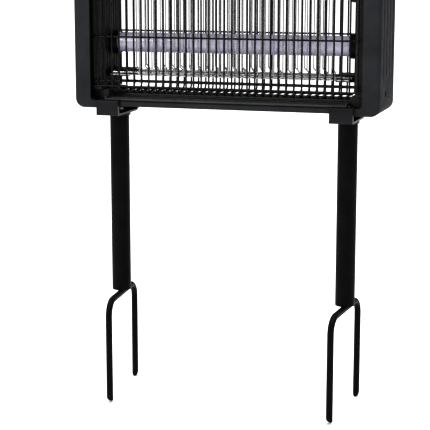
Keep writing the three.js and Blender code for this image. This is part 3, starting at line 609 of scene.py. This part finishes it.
MATERIALS = {
    "housing_plastic": moulded_plastic("housing_plastic", (0.037, 0.038, 0.041), 0.55, gloss=0.02),
    "inner_plastic": moulded_plastic("inner_plastic", (0.034, 0.034, 0.033), 0.48, gloss=0.2),
    "guard_coating": powder_coat("guard_coating", (0.004, 0.004, 0.004), 0.26, gloss=0.25, peel=0.9),
    "bracket_plastic": moulded_plastic("bracket_plastic", (0.012, 0.012, 0.014), 0.36, gloss=0.22),
    "leg_coating": powder_coat("leg_coating", (0.007, 0.007, 0.007), 0.44, gloss=0.06),
    "grid_steel": drawn_steel("grid_steel", (0.50, 0.50, 0.51), 0.22, along=(0.04, 1, 0.04)),
    "insulator": moulded_plastic("insulator", (0.008, 0.008, 0.008), 0.42, gloss=0.14, dust=0.04),
    "lamp_glass": phosphor_glass("lamp_glass", (0.65, 0.625, 0.78)),
    "cap_metal": pressed_aluminium("cap_metal", (0.60, 0.61, 0.62)),
    "tray_plastic": moulded_plastic("tray_plastic", (0.046, 0.046, 0.046), 0.36, gloss=0.3),
    "screw_steel": drawn_steel("screw_steel", (0.30, 0.31, 0.32), 0.34, along=(1, 1, 1)),
    "core_steel": laminated_core("core_steel", (0.30, 0.31, 0.32)),
    "board_laminate": circuit_board("board_laminate", (0.08, 0.16, 0.05)),
    "lead_sheath": moulded_plastic("lead_sheath", (0.60, 0.58, 0.52), 0.5, dust=0.0),
    "switch_plastic": gloss_plastic("switch_plastic", (0.30, 0.01, 0.01)),
}

# ---- finishing a piece ----

record = frame["record"]
SLOT_OF = {part["node"]: part["material_slot"] for part in record["subparts"]}
BODY_OF = {node: body for body, nodes in record["behaviour"]["bodies"].items() for node in nodes}


def smooth(mesh):
    """Smooth surfaces with crisp edges."""
    mesh.polygons.foreach_set("use_smooth", [True] * len(mesh.polygons))
    mesh.set_sharp_from_angle(angle=SMOOTH_BELOW)


def piece(body, *nodes):
    """Makes a solid the visible piece that stands for CAD nodes."""
    body.data.transform(Matrix.Scale(MM, 4))
    body.data.validate()
    body.name = f"{nodes[0]}.detail"
    body.data.name = body.name
    body.data.materials.clear()
    body.data.materials.append(MATERIALS[SLOT_OF[nodes[0]]])
    smooth(body.data)
    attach(body, BODY_OF[nodes[0]])
    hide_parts(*nodes)
    return body


def pair(right_body, name):
    """The same piece on both sides of the head."""
    left_body = reflected(right_body, X_AXIS)
    piece(right_body, f"right_{name}")
    piece(left_body, f"left_{name}")


# ---- head ----

def end_cap_outline(inset):
    """Front view of an end cap with its foot, drawn in from its outer edges."""
    bottom = height(-FOOT_DROP) + inset
    outer = HALF_WIDTH - inset
    top = HEAD_TOP - inset
    corner = CORNER_RADIUS - inset
    return filleted([
        (FOOT_INNER_X, bottom, 0), (outer, bottom, corner), (outer, top, corner),
        (STILE_INNER, top, 0), (STILE_INNER, height(RAIL_HEIGHT), FOOT_FILLET),
        (FOOT_INNER_X, height(RAIL_HEIGHT), 0),
    ], steps=10)


def end_cap_sections(steps=8):
    """Sections from front to back, with a quarter round at both faces."""
    turns = [math.pi / 2 * i / steps for i in range(steps + 1)]
    rounds = [(EDGE_RADIUS * (1 - math.cos(t)), EDGE_RADIUS * (1 - math.sin(t))) for t in turns]
    front = [(HEAD_FRONT + back, end_cap_outline(inset)) for inset, back in reversed(rounds)]
    rear = [(HEAD_BACK - back, end_cap_outline(inset)) for inset, back in rounds]
    return front + rear


def end_cap():
    """Hollow end moulding: rounded outside, grooved side, sunk screw holes, a foot at front and back."""
    inside, outside = STILE_INNER - CLEAR, HALF_WIDTH - SHELL_WALL
    low, high = height(-FOOT_DROP) + SHELL_WALL, HEAD_TOP - SHELL_WALL
    corner = CORNER_RADIUS - SHELL_WALL
    hollow = rounded_rectangle((inside, outside), (low, high), 0, corner, corner, 0)
    cavity = prism(hollow, "Y", (HEAD_FRONT + SHELL_WALL, HEAD_BACK - SHELL_WALL))
    between_feet = box(
        (FOOT_INNER_X - CLEAR, STILE_INNER),
        (depth(RAIL_DEPTH), depth(HEAD_DEPTH - RAIL_DEPTH)),
        (height(-FOOT_DROP) - CLEAR, height(RAIL_HEIGHT + FOOT_FILLET) + CLEAR),
    )
    body = cut(solid(lambda bm: add_loft(bm, end_cap_sections(), "Y")), cavity, between_feet)
    hole = SCREW_RECESS["radius"]
    floor = HALF_WIDTH - SCREW_RECESS["depth"]
    post_ends = (STILE_INNER + 1, HALF_WIDTH - OVERLAP)
    for level in SCREW_HEIGHTS.values():
        place = (0, depth(SCREW_DEPTH), height(level))
        post = cylinder(hole + SCREW_RECESS["wall"], "X", post_ends, place, sides=32)
        recess = cylinder(hole, "X", (floor, HALF_WIDTH + CLEAR), place, sides=32)
        body = cut(join(body, post), recess)
    return edged(cut(body, *[side_groove(d) for d in GROOVES["depths"]]), width=0.35)


def side_groove(d):
    """Cutter for an upright groove in an end cap's outer side."""
    end_radius = GROOVES["width"] / 2 * 0.98  # a hair under half, so that the ends keep a short flat
    levels = (height(GROOVES["low"]), height(GROOVES["high"]))
    outline = rounded_rectangle(about(depth(d), GROOVES["width"]), levels, end_radius)
    return prism(outline, "X", (HALF_WIDTH - GROOVES["sunk"], HALF_WIDTH + CLEAR))


def case_screw(level):
    """Pan-head screw with a cross recess, at the bottom of its hole."""
    seat = HALF_WIDTH - SCREW_RECESS["depth"] + GAP
    end = seat - SCREW["length"]
    shank, head = SCREW["shank"], SCREW["head"]
    place = (0, depth(SCREW_DEPTH), height(level))
    profile = [
        (0, end), (shank, end), (shank, seat), (head, seat), (head, seat + 0.6),
        (3.6, seat + 1.4), (3.0, seat + 2.1), (1.8, seat + 2.6), (0, seat + 2.8),
    ]
    long, narrow = SCREW["slot_length"], SCREW["slot_width"]
    slots = [
        box((seat + SCREW["slot_floor"], seat + 4), about(place[1], wide), about(place[2], tall))
        for wide, tall in ((long, narrow), (narrow, long))
    ]
    return edged(cut(turned(profile, "X", place, sides=40), *slots), width=0.12, segments=2)


def inner_panel():
    """Ribbed wall beside the lamps, with round holes for the lamp holders."""
    outer = STILE_INNER - STILE_GAP
    back = INNER_WALL_X + WALL_THICKNESS
    face = INNER_WALL_X - WALL_RIB["proud"]
    half, flank, tip = WALL_RIB["width"] / 2, WALL_RIB["flank"], WALL_RIB["corner"]
    front, rear = WALL_DEPTHS
    corners = [(outer, front, 0), (INNER_WALL_X, front, WALL_CORNER)]
    for i in range(WALL_RIB["count"]):
        middle = WALL_RIB["first"] + i * WALL_RIB["pitch"]
        corners += [
            (INNER_WALL_X, middle - half - flank, 0), (face, middle - half, tip),
            (face, middle + half, tip), (INNER_WALL_X, middle + half + flank, 0),
        ]
    corners += [
        (INNER_WALL_X, rear, WALL_CORNER), (outer, rear, 0), (outer, rear - WALL_THICKNESS, 0),
        (back, rear - WALL_THICKNESS, 0), (back, front + WALL_THICKNESS, 0),
        (outer, front + WALL_THICKNESS, 0),
    ]
    outline = [(x, depth(d)) for x, d in filleted(corners, steps=4)]
    wall = prism(outline, "Z", (height(GUIDE["top"] + GAP), HOUSING_BASE - GAP))
    through_wall = (INNER_WALL_X - 3, back + 3)
    holes = [
        cylinder(HOLDER["radius"] + GAP, "X", through_wall, (0, LAMP_Y, height(level)))
        for level in LAMP_HEIGHTS.values()
    ]
    return cut(wall, *holes)


def tray_guide():
    """Block in a lower corner that the tray slides past."""
    outline = rounded_rectangle(
        (TRAY["half"] + GUIDE["play"], STILE_INNER - STILE_GAP),
        (height(GUIDE["bottom"]), height(GUIDE["top"])),
        GUIDE["corner"],
    )
    body = prism(outline, "Y", (depth(GUIDE["inset"]), depth(HEAD_DEPTH - GUIDE["inset"])))
    return edged(body, width=0.5)


def bottom_rail(side):
    """Bottom rail with a rounded outer edge and a rib that the tray runs over or stops against."""
    outside, inside = (0, RAIL_DEPTH) if side == "front" else (HEAD_DEPTH, HEAD_DEPTH - RAIL_DEPTH)
    levels = (height(0), height(RAIL_HEIGHT))
    outline = rounded_rectangle((depth(outside), depth(inside)), levels, *RAIL_CORNERS)
    rail = prism(outline, "X", (-FOOT_INNER_X + GAP, FOOT_INNER_X - GAP))
    start, stop, top = RAIL_RIBS[side]
    rib = box(
        (-RAIL_RIB_HALF, RAIL_RIB_HALF),
        (depth(start), depth(stop)),
        (height(RAIL_HEIGHT - OVERLAP), height(top)),
    )
    return edged(join(rail, rib), width=0.3, segments=2)


def housing_block(inset, z):
    """Block drawn in from the four sides of the top housing."""
    return box((-HOUSING_HALF + inset, HOUSING_HALF - inset), (HEAD_FRONT + inset, HEAD_BACK - inset), z)


def top_housing():
    """Open-topped electronics housing with holes for the gland and the switch."""
    levels = (HOUSING_BASE, COVER_BOTTOM - GAP)
    outline = rounded_rectangle((HEAD_FRONT, HEAD_BACK), levels, *HOUSING_CORNERS)
    body = prism(outline, "X", (-HOUSING_HALF, HOUSING_HALF))
    hollow = housing_block(SHELL_WALL, (HOUSING_BASE + SHELL_WALL, HEAD_TOP))
    through_back = about(HEAD_BACK, 12)
    gland_hole = cylinder(GLAND["hole"], "Y", through_back, (GLAND["x"], 0, height(GLAND["level"])))
    switch_hole = box(
        about(SWITCH["x"], SWITCH_SLEEVE["width"] + 2 * GAP),
        through_back,
        about(height(SWITCH["level"]), SWITCH_SLEEVE["tall"] + 2 * GAP),
    )
    return edged(cut(body, hollow, gland_hole, switch_hole), width=0.3, segments=2)


def top_cover():
    """Lid with a rounded upper edge and a locating rim underneath."""
    outline = rounded_rectangle((HEAD_FRONT, HEAD_BACK), (COVER_BOTTOM, HEAD_TOP), *COVER_CORNERS)
    plate = prism(outline, "X", (-HOUSING_HALF, HOUSING_HALF))
    inset = SHELL_WALL + GAP
    rim_bottom = COVER_BOTTOM - COVER_RIM["drop"]
    rim = housing_block(inset, (rim_bottom, COVER_BOTTOM + OVERLAP))
    hollow = housing_block(inset + COVER_RIM["wall"], (rim_bottom - CLEAR, COVER_BOTTOM))
    return edged(join(plate, cut(rim, hollow)), width=0.25, segments=2)


def hanging_lug():
    """Pressed steel lug with a round eye, standing on its base plate."""
    bottom = HEAD_TOP + GAP
    middle = depth(HEAD_DEPTH / 2)
    half = LUG["width"] / 2
    eye_level = bottom + LUG["eye_height"]
    turns = [math.pi * i / 24 for i in range(25)]
    top = [(LUG["x"] + half * math.cos(t), eye_level + half * math.sin(t)) for t in turns]
    outline = [(LUG["x"] - half, bottom), (LUG["x"] + half, bottom), *top]
    plate = prism(outline, "Y", about(middle, LUG["thickness"]))
    footprint = rounded_rectangle(
        about(LUG["x"], LUG["width"]), about(middle, LUG_BASE["depth"]), LUG_BASE["corner"],
    )
    base = prism(footprint, "Z", (bottom, bottom + LUG_BASE["height"]))
    eye = cylinder(LUG["eye"], "Y", about(middle, 10), (LUG["x"], 0, eye_level), sides=40)
    return edged(cut(join(plate, base), eye), width=0.4)


def cable_gland():
    """Ridged gland with an open bore for the mains lead."""
    inside = HEAD_BACK - GLAND["inside"]
    wall = HEAD_BACK + GAP
    end = wall + GLAND["outside"]
    bore, thread = GLAND["bore"], GLAND["thread"]
    collar, chamfer = GLAND_COLLAR["radius"], GLAND_COLLAR["chamfer"]
    collar_end = wall + GLAND_COLLAR["length"]
    profile = [
        (bore, inside), (thread, inside), (thread, wall), (collar - chamfer, wall), (collar, wall + chamfer),
        (collar, collar_end - chamfer), (collar - chamfer, collar_end),
    ]
    for i in range(GLAND_RIDGES["count"]):
        start = wall + GLAND_RIDGES["first"] + i * GLAND_RIDGES["pitch"]
        crest = GLAND_RIDGES["radius"] - i * GLAND_RIDGES["taper"]
        valley = crest - GLAND_RIDGES["height"]
        profile += [(crest, start), (crest, start + 0.9), (valley, start + 1.1), (valley, start + 1.7)]
    profile += [(bore + 1, end), (bore, end - 0.6), (bore, inside)]
    return turned(profile, "Y", (GLAND["x"], 0, height(GLAND["level"])))


def switch_frame():
    """Bezel and sleeve of the rocker switch."""
    x, middle = SWITCH["x"], height(SWITCH["level"])
    bezel = rounded_rectangle(
        about(x, SWITCH_PLATE["width"]), about(middle, SWITCH_PLATE["tall"]), SWITCH_PLATE["corner"],
    )
    plate = prism(bezel, "Y", (HEAD_BACK + GAP, HEAD_BACK + SWITCH_PLATE["top"]))
    sleeve = box(
        about(x, SWITCH_SLEEVE["width"]),
        (HEAD_BACK - SWITCH_SLEEVE["depth"], HEAD_BACK + OVERLAP),
        about(middle, SWITCH_SLEEVE["tall"]),
    )
    well = box(
        about(x, SWITCH_WELL["width"]),
        (HEAD_BACK - SWITCH_WELL["depth"], HEAD_BACK + 2 * SWITCH_PLATE["top"]),
        about(middle, SWITCH_WELL["tall"]),
    )
    return edged(cut(join(plate, sleeve), well), width=0.3, segments=2)


def switch_rocker():
    """Rocker with a hollow face, tilted to its off position."""
    half, back = ROCKER["half_tall"], ROCKER["back"]
    face = [
        (ROCKER["crown"] - ROCKER["dip"] * math.cos(math.pi / 2 * v / half) ** 2, v)
        for v in range(-half, half + 1, 2)
    ]
    outline = [(back, -half), *face, (back, half), (ROCKER["waist"], 0)]
    body = prism(outline, "X", about(0, ROCKER["width"]))
    body = edged(body, width=0.3, segments=2, angle=STEEP_ANGLE)
    tilt = Matrix.Rotation(math.radians(ROCKER_TILT), 4, "X")
    pivot = Matrix.Translation((SWITCH["x"], HEAD_BACK - ROCKER["pivot"], height(SWITCH["level"])))
    body.data.transform(pivot @ tilt)
    return body


# ---- lamps ----

def lamp_holder(level):
    """Cup that takes a lamp's end, with a rounded rim and a smaller hollow for the pins."""
    mouth = LAMP_FACE_X - LAMP_CAP_LENGTH
    seat = LAMP_FACE_X + 2 * GAP
    pin_end = seat + PIN_LENGTH + 1
    back = pin_end + HOLDER["back"]
    cup = LAMP_RADIUS + HOLDER["play"]
    outer, rim, pin_room = HOLDER["radius"], HOLDER["rim"], HOLDER["pin_room"]
    profile = [
        (cup, mouth + rim), (cup + rim / 3, mouth), (outer - rim, mouth), (outer, mouth + rim),
        (outer, back), (0, back), (0, pin_end), (pin_room, pin_end), (pin_room, seat), (cup, seat),
        (cup, mouth + rim),
    ]
    return turned(profile, "X", (0, LAMP_Y, height(level)))


def lamp_glass(level):
    """Thin glass tube, drawn in a little at both ends where the caps are cemented on."""
    half = LAMP_FACE_X - LAMP_CAP_LENGTH - GAP
    wall = 1
    outer = [(LAMP_RADIUS - 0.6, -half), (LAMP_RADIUS - 0.1, -half + 0.8), (LAMP_RADIUS, -half + 2)]
    inner = [(radius - wall, place) for radius, place in outer]
    profile = [
        *outer, *[(radius, -place) for radius, place in reversed(outer)],
        *[(radius, -place) for radius, place in inner], *reversed(inner), outer[0],
    ]
    return turned(profile, "X", (0, LAMP_Y, height(level)), sides=96)


def lamp_cap(level):
    """Pressed metal cap with a crimped bead and two pins."""
    start = LAMP_FACE_X - LAMP_CAP_LENGTH
    face = LAMP_FACE_X
    pin_end = face + PIN_LENGTH
    r = LAMP_RADIUS
    shell = [
        (0, start), (r - 0.4, start), (r, start + 0.4), (r, start + 2.4), (r - 0.5, start + 3.0),
        (r - 0.5, start + 3.6), (r, start + 4.2), (r, face - 1.2), (r - 0.4, face - 0.4),
        (r - 1.2, face), (0, face),
    ]
    pin = [
        (0, face - 1), (PIN_RADIUS, face - 1), (PIN_RADIUS, pin_end - 0.6),
        (PIN_RADIUS - 0.5, pin_end), (0, pin_end),
    ]

    def build(bm):
        add_turned(bm, shell, "X", (0, LAMP_Y, height(level)))
        for side in (-1, 1):
            add_turned(bm, pin, "X", (0, LAMP_Y, height(level) + side * PIN_SPACING / 2), sides=24)

    return solid(build)


# ---- high-voltage grids ----

def grid_level(h, upper=False):
    """Z of a level of the lower grid arms, or of its mirror image at the upper ones."""
    return height(2 * LAMP_MIDDLE - h if upper else h)


def grid_places(count):
    return [(i - (count - 1) / 2) * GRID_PITCH for i in range(count)]


def live_grid(bm):
    """Upright rods whose ends are bent aside and welded to two round rails."""
    y = depth(LIVE_GRID["plane"])
    levels = [grid_level(LIVE_GRID["level"]), grid_level(LIVE_GRID["level"], True)]
    for z in levels:
        add_rod(bm, [(-GRID_HALF_LENGTH, y, z), (GRID_HALF_LENGTH, y, z)], LIVE_GRID["rail"], sides=16)
    shift = LIVE_FOOT["shift"]
    for x in grid_places(LIVE_GRID["rods"]):
        corners = [
            (x + shift, y, levels[0]), (x + shift, y, grid_level(LIVE_FOOT["bottom"])),
            (x, y, grid_level(LIVE_FOOT["top"])), (x, y, grid_level(LIVE_FOOT["top"], True)),
            (x - shift, y, grid_level(LIVE_FOOT["bottom"], True)), (x - shift, y, levels[1]),
        ]
        add_rod(bm, rounded_path(corners, LIVE_FOOT["bend"], steps=4), GRID_ROD_RADIUS)


def return_grid(bm):
    """Straight rods between two flat strips with a tab at each end."""
    plane = RETURN_GRID["plane"]
    front, back = about(depth(plane), RETURN_GRID["strip_depth"])
    end, tab, reach = GRID_HALF_LENGTH, STRIP_TAB["start"], depth(STRIP_TAB["reach"])
    places = [
        (-end, front), (end, front), (end, reach), (tab, reach),
        (tab, back), (-tab, back), (-tab, reach), (-end, reach),
    ]
    outline = filleted([(*place, STRIP_TAB["corner"]) for place in places], steps=3)
    for upper in (False, True):
        add_prism(bm, outline, "Z", about(grid_level(RETURN_GRID["level"], upper), RETURN_GRID["strip"]))
    y = depth(plane)
    for x in grid_places(RETURN_GRID["rods"]):
        ends = [(x, y, grid_level(RETURN_GRID["level"], upper)) for upper in (False, True)]
        add_rod(bm, ends, GRID_ROD_RADIUS)


# ---- wire guard ----

def long_wire(bm, y, z, half=STILE_INNER + GUARD_HOLD):
    add_rod(bm, [(-half, y, z), (half, y, z)], GUARD_RADIUS)


def guard_bar(bm, x):
    """One bar: down the front, round under the lamps as a basket, and up the back."""
    top = HOUSING_BASE - GAP
    front = depth(GUARD_PLANES["front"])
    rear = depth(GUARD_PLANES["rear"])
    bottom = height(GUARD_BOTTOM)
    if abs(x) < TRAY["half"]:
        corners = [(x, front, top), (x, front, bottom), (x, rear, bottom), (x, rear, top)]
        add_rod(bm, rounded_path(corners, GUARD_BEND, steps=5), GUARD_RADIUS)
        return
    for y in (front, rear):
        add_rod(bm, [(x, y, top), (x, y, height(GUARD_EDGE_HEIGHT))], GUARD_RADIUS)


def wire_guard(bm):
    """Bars bent into a basket, with the wires that are welded across them."""
    for i in range(GUARD_BARS):
        guard_bar(bm, (i - (GUARD_BARS - 1) / 2) * GUARD_PITCH)
    for face, inwards in (("front", 1), ("rear", -1)):
        y = depth(GUARD_PLANES[face])
        long_wire(bm, y, height(GUARD_EDGE_HEIGHT))
        for level in GUARD_CROSS_HEIGHTS[face]:
            long_wire(bm, y + inwards * GUARD_WELD, height(level))
    long_wire(bm, LAMP_Y, height(GUARD_BOTTOM) + GUARD_WELD, TRAY["half"] - 2)


# ---- insect tray ----

def collection_tray():
    """Shallow pan with a finger lip in front, low walls elsewhere and ribs across its floor."""
    bottom = TRAY["bottom"]
    floor = bottom + TRAY["sheet"]
    front, back, rim = TRAY["front"], TRAY["back"], TRAY["rim"]
    corners = [
        (front, bottom, 0.6), (back, bottom, 0.9), (back, rim, 0.3), (back - TRAY["sheet"], rim, 0.3),
        (back - TRAY["sheet"], floor, 1.0),
    ]
    half = TRAY_RIBS["width"] / 2
    top = floor + TRAY_RIBS["height"]
    for d in reversed(TRAY_RIBS["places"]):
        corners += [
            (d + half, floor, 0), (d + half / 2, top, 0.25), (d - half / 2, top, 0.25), (d - half, floor, 0),
        ]
    lip_back = front + TRAY_LIP["depth"]
    lip_top = bottom + TRAY_LIP["height"]
    corners += [(lip_back, floor, 0.4), (lip_back - 0.6, lip_top, 0.3), (front, lip_top, 0.6)]
    outline = [(depth(d), height(h)) for d, h in filleted(corners, steps=4)]
    pan = prism(outline, "X", (-TRAY["half"], TRAY["half"]))
    ends = [
        box((x, x + TRAY["sheet"]), (depth(front + 1), depth(back)), (height(bottom), height(rim)))
        for x in (-TRAY["half"], TRAY["half"] - TRAY["sheet"])
    ]
    return edged(join(pan, *ends), width=0.25, segments=2, angle=STEEP_ANGLE)


# ---- legs ----

def bracket_outline():
    """Side view of the clip: hooks over the front rail, runs back under the head, rises to the rear rail."""
    front, end, play = BRACKET["front"], BRACKET["end"], BRACKET["play"]
    rise_from, rise_to = BRACKET["rise"]
    under = -BRACKET["drop"]
    floor = under + BRACKET["plate"]
    tab_top = -FOOT_DROP - play
    tab_under = tab_top - BRACKET["plate"]
    under_hook = RAIL_HEIGHT + GAP
    hook_bottom, hook_top = BRACKET_HOOK["bottom"], BRACKET_HOOK["top"]
    behind_rail = RAIL_DEPTH + play
    hook_back = behind_rail + BRACKET_HOOK["thickness"]
    corners = [
        (front, under, 1.5), (rise_from, under, 3), (rise_to, tab_under, 3), (end, tab_under, 0.6),
        (end, tab_top, 0.6), (rise_to - 1, tab_top, 2), (rise_from - 1, floor, 2), (-play, floor, 1),
        (-play, under_hook, 0.6), (behind_rail, under_hook, 0.6), (behind_rail, hook_bottom, 0.4),
        (hook_back, hook_bottom, 0.6), (hook_back, hook_top, 1), (front, hook_top, 1.8),
    ]
    return [(depth(d), height(h)) for d, h in filleted(corners)]


def leg_bracket():
    """Clip with a round collar that the leg stands in."""
    under = height(-BRACKET["drop"])
    strap = prism(bracket_outline(), "X", about(LEG_X, BRACKET["width"]))
    axis = (LEG_X, 0, 0)
    collar = cylinder(COLLAR_RADIUS, "Z", (under - COLLAR_DROP, under + OVERLAP), axis)
    socket = cylinder(LEG_RADIUS + GAP, "Z", (under - COLLAR_DROP - CLEAR, under), axis)
    through_plate = (under - CLEAR, under + BRACKET["plate"] + CLEAR)
    bolt_hole = cylinder(BOLT["radius"] + GAP, "Z", through_plate, axis, sides=32)
    return edged(cut(join(strap, collar), socket, bolt_hole), width=0.6, angle=STEEP_ANGLE)


def leg_tube():
    """Steel tube with softly rounded ends."""
    outer, inner, lip = LEG_RADIUS, LEG_RADIUS - LEG_WALL, 0.4
    profile = [
        (inner, lip), (inner + lip / 2, 0), (outer - lip, 0), (outer, lip), (outer, LEG_LENGTH - lip),
        (outer - lip, LEG_LENGTH), (inner + lip / 2, LEG_LENGTH), (inner, LEG_LENGTH - lip), (inner, lip),
    ]
    return turned(profile, "Z", (LEG_X, 0, 0))


def leg_bolt():
    """Hexagon bolt with a chamfered head."""
    seat = height(-BRACKET["drop"] + BRACKET["plate"]) + GAP
    axis = (LEG_X, 0, 0)
    shank = cylinder(BOLT["radius"], "Z", (LEG_LENGTH - BOLT["reach"], seat + OVERLAP), axis, sides=32)
    head = cylinder(BOLT["head"], "Z", (seat, seat + BOLT["head_height"]), axis, sides=6)
    return edged(join(shank, head), width=0.35, segments=2)


def ground_fork():
    """Round rod bent into two prongs, cut off at a slant at the tips."""
    bar_z = -FORK_ROD_RADIUS - FORK_GAP
    slant_z = FORK_ROD_RADIUS * math.tan(FORK_TIP_SLANT) - FORK_DEPTH
    corners = [
        (0, -FORK_HALF_SPREAD, -FORK_DEPTH), (0, -FORK_HALF_SPREAD, bar_z),
        (0, FORK_HALF_SPREAD, bar_z), (0, FORK_HALF_SPREAD, -FORK_DEPTH),
    ]

    def build(bm):
        add_rod(bm, rounded_path(corners, FORK_BEND, steps=16), FORK_ROD_RADIUS, sides=32)
        for side in (-1, 1):
            cut_at = Vector((0, side * FORK_HALF_SPREAD, slant_z))
            up = Vector((0, -side * math.sin(FORK_TIP_SLANT), math.cos(FORK_TIP_SLANT)))
            prong = [v for v in bm.verts if v.co.y * side > 0 and v.co.z < -FORK_DEPTH / 2]
            nearby = {e for v in prong for e in v.link_edges}
            faces = {f for v in prong for f in v.link_faces}
            geometry = list({v for e in nearby for v in e.verts}) + list(nearby) + list(faces)
            made = bmesh.ops.bisect_plane(bm, geom=geometry, plane_co=cut_at, plane_no=up, clear_inner=True)
            edges = [item for item in made["geom_cut"] if isinstance(item, bmesh.types.BMEdge)]
            bmesh.ops.contextual_create(bm, geom=edges)

    body = edged(solid(build), width=0.3, segments=2)
    splay = Matrix.Rotation(math.radians(-FORK_SPLAY), 4, "Z")
    body.data.transform(Matrix.Translation((LEG_X, 0, 0)) @ splay)
    return body


# ---- assembly ----

def build_head():
    pair(end_cap(), "end_cap")
    for place, level in SCREW_HEIGHTS.items():
        pair(case_screw(level), f"{place}_case_screw")
    pair(inner_panel(), "inner_panel")
    pair(tray_guide(), "tray_guide")
    for side in ("front", "rear"):
        piece(bottom_rail(side), f"{side}_bottom_rail")
    piece(top_housing(), "top_housing")
    piece(top_cover(), "top_cover")
    pair(hanging_lug(), "hanging_lug")
    piece(cable_gland(), "cable_gland")
    piece(switch_frame(), "switch_frame")
    piece(switch_rocker(), "switch_rocker")
    piece(collection_tray(), "collection_tray")


def build_lamps():
    for place, level in LAMP_HEIGHTS.items():
        pair(lamp_holder(level), f"{place}_lamp_holder")
        piece(lamp_glass(level), f"{place}_lamp_glass")
        pair(lamp_cap(level), f"{place}_lamp_cap")


def build_wires():
    """The rear grids are the front ones mirrored at the lamps."""
    for name, build in (("live_grid", live_grid), ("return_grid", return_grid)):
        front = solid(build)
        rear = reflected(front, Y_AXIS, Vector((0, LAMP_Y, 0)))
        piece(front, f"front_{name}")
        piece(rear, f"rear_{name}")
    piece(solid(wire_guard), "front_guard", "rear_guard", "bottom_guard")


def build_legs():
    pair(leg_bracket(), "leg_bracket")
    pair(leg_bolt(), "leg_bolt")
    pair(leg_tube(), "leg_tube")
    pair(ground_fork(), "ground_fork")


def finish_kept_nodes():
    """CAD nodes that stay in view get their finish and softly rounded edges."""
    for name, node in frame["nodes"].items():
        node.data.materials.clear()
        node.data.materials.append(MATERIALS[SLOT_OF[name]])
        round_edges(node, width=KEPT_EDGE * MM, segments=2)


def add_floor():
    """Wide pale floor at the level of the prong tips."""
    half = FLOOR_WIDTH / 2

    def build(bm):
        corners = [(-half, -half), (half, -half), (half, half), (-half, half)]
        bm.faces.new([bm.verts.new((x, y, -FORK_DEPTH)) for x, y in corners])

    floor = solid(build)
    floor.data.transform(Matrix.Scale(MM, 4))
    floor.name = "floor"
    floor.data.materials.append(floor_paper("floor_paper", (0.93, 0.93, 0.93)))


# ---- lights and camera, placed in metres ----

LIGHT_AIM = Vector((0, 0.01, 0.35))


def add_light(kind, name, power):
    light = bpy.data.lights.new(name, kind)
    light.energy = power
    return add_object(name, light)


def add_softbox(name, place, size, power):
    """Square area light that faces the object."""
    lamp = add_light("AREA", name, power)
    lamp.data.size = size
    lamp.location = place
    lamp.rotation_euler = (LIGHT_AIM - Vector(place)).to_track_quat("-Z", "Y").to_euler()


def add_overhead(strength, softness):
    """Even light from straight above, which keeps the floor pale out to its edge."""
    add_light("SUN", "overhead", strength).data.angle = math.radians(softness)


def add_world(seen, lit):
    """Pale surroundings that are brighter to look at than they are to be lit by."""
    world = bpy.data.worlds.new("studio")
    world.use_nodes = True
    tree = world.node_tree
    surroundings = tree.nodes["Background"]
    surroundings.inputs["Color"].default_value = (1, 1, 1, 1)
    strength = tree.nodes.new("ShaderNodeMapRange")
    strength.inputs["To Min"].default_value = lit
    strength.inputs["To Max"].default_value = seen
    tree.links.new(tree.nodes.new("ShaderNodeLightPath").outputs["Is Camera Ray"], strength.inputs["Value"])
    tree.links.new(strength.outputs["Result"], surroundings.inputs["Strength"])
    bpy.context.scene.world = world


def add_lights():
    add_softbox("key", (-1.3, -1.7, 1.2), size=0.9, power=18)
    add_softbox("side", (2.0, -0.4, 0.9), size=0.8, power=2)
    add_softbox("back", (0.8, 1.8, 1.6), size=1.2, power=10)
    add_overhead(strength=3.2, softness=50)
    add_world(seen=1.0, lit=0.22)
    bpy.context.scene.view_settings.view_transform = "Standard"
    bpy.context.scene.view_settings.look = "High Contrast"


CAMERA_AZIMUTH = math.radians(17.1)
CAMERA_ELEVATION = math.radians(10.75)
CAMERA_DISTANCE = 1.842
CAMERA_TARGET = Vector((-0.0217, 0, 0.1087))
SENSOR_WIDTH = 36
CAMERA_LENS = 117.2


def add_camera():
    back = Vector((
        math.sin(CAMERA_AZIMUTH) * math.cos(CAMERA_ELEVATION),
        -math.cos(CAMERA_AZIMUTH) * math.cos(CAMERA_ELEVATION),
        math.sin(CAMERA_ELEVATION),
    ))
    data = bpy.data.cameras.new("camera")
    data.sensor_width = SENSOR_WIDTH
    data.lens = CAMERA_LENS
    camera = add_object("camera", data)
    camera.location = CAMERA_TARGET + back * CAMERA_DISTANCE
    camera.rotation_euler = (-back).to_track_quat("-Z", "Y").to_euler()
    bpy.context.scene.camera = camera


add_camera()
build_head()
build_lamps()
build_wires()
build_legs()
finish_kept_nodes()
add_floor()
add_lights()
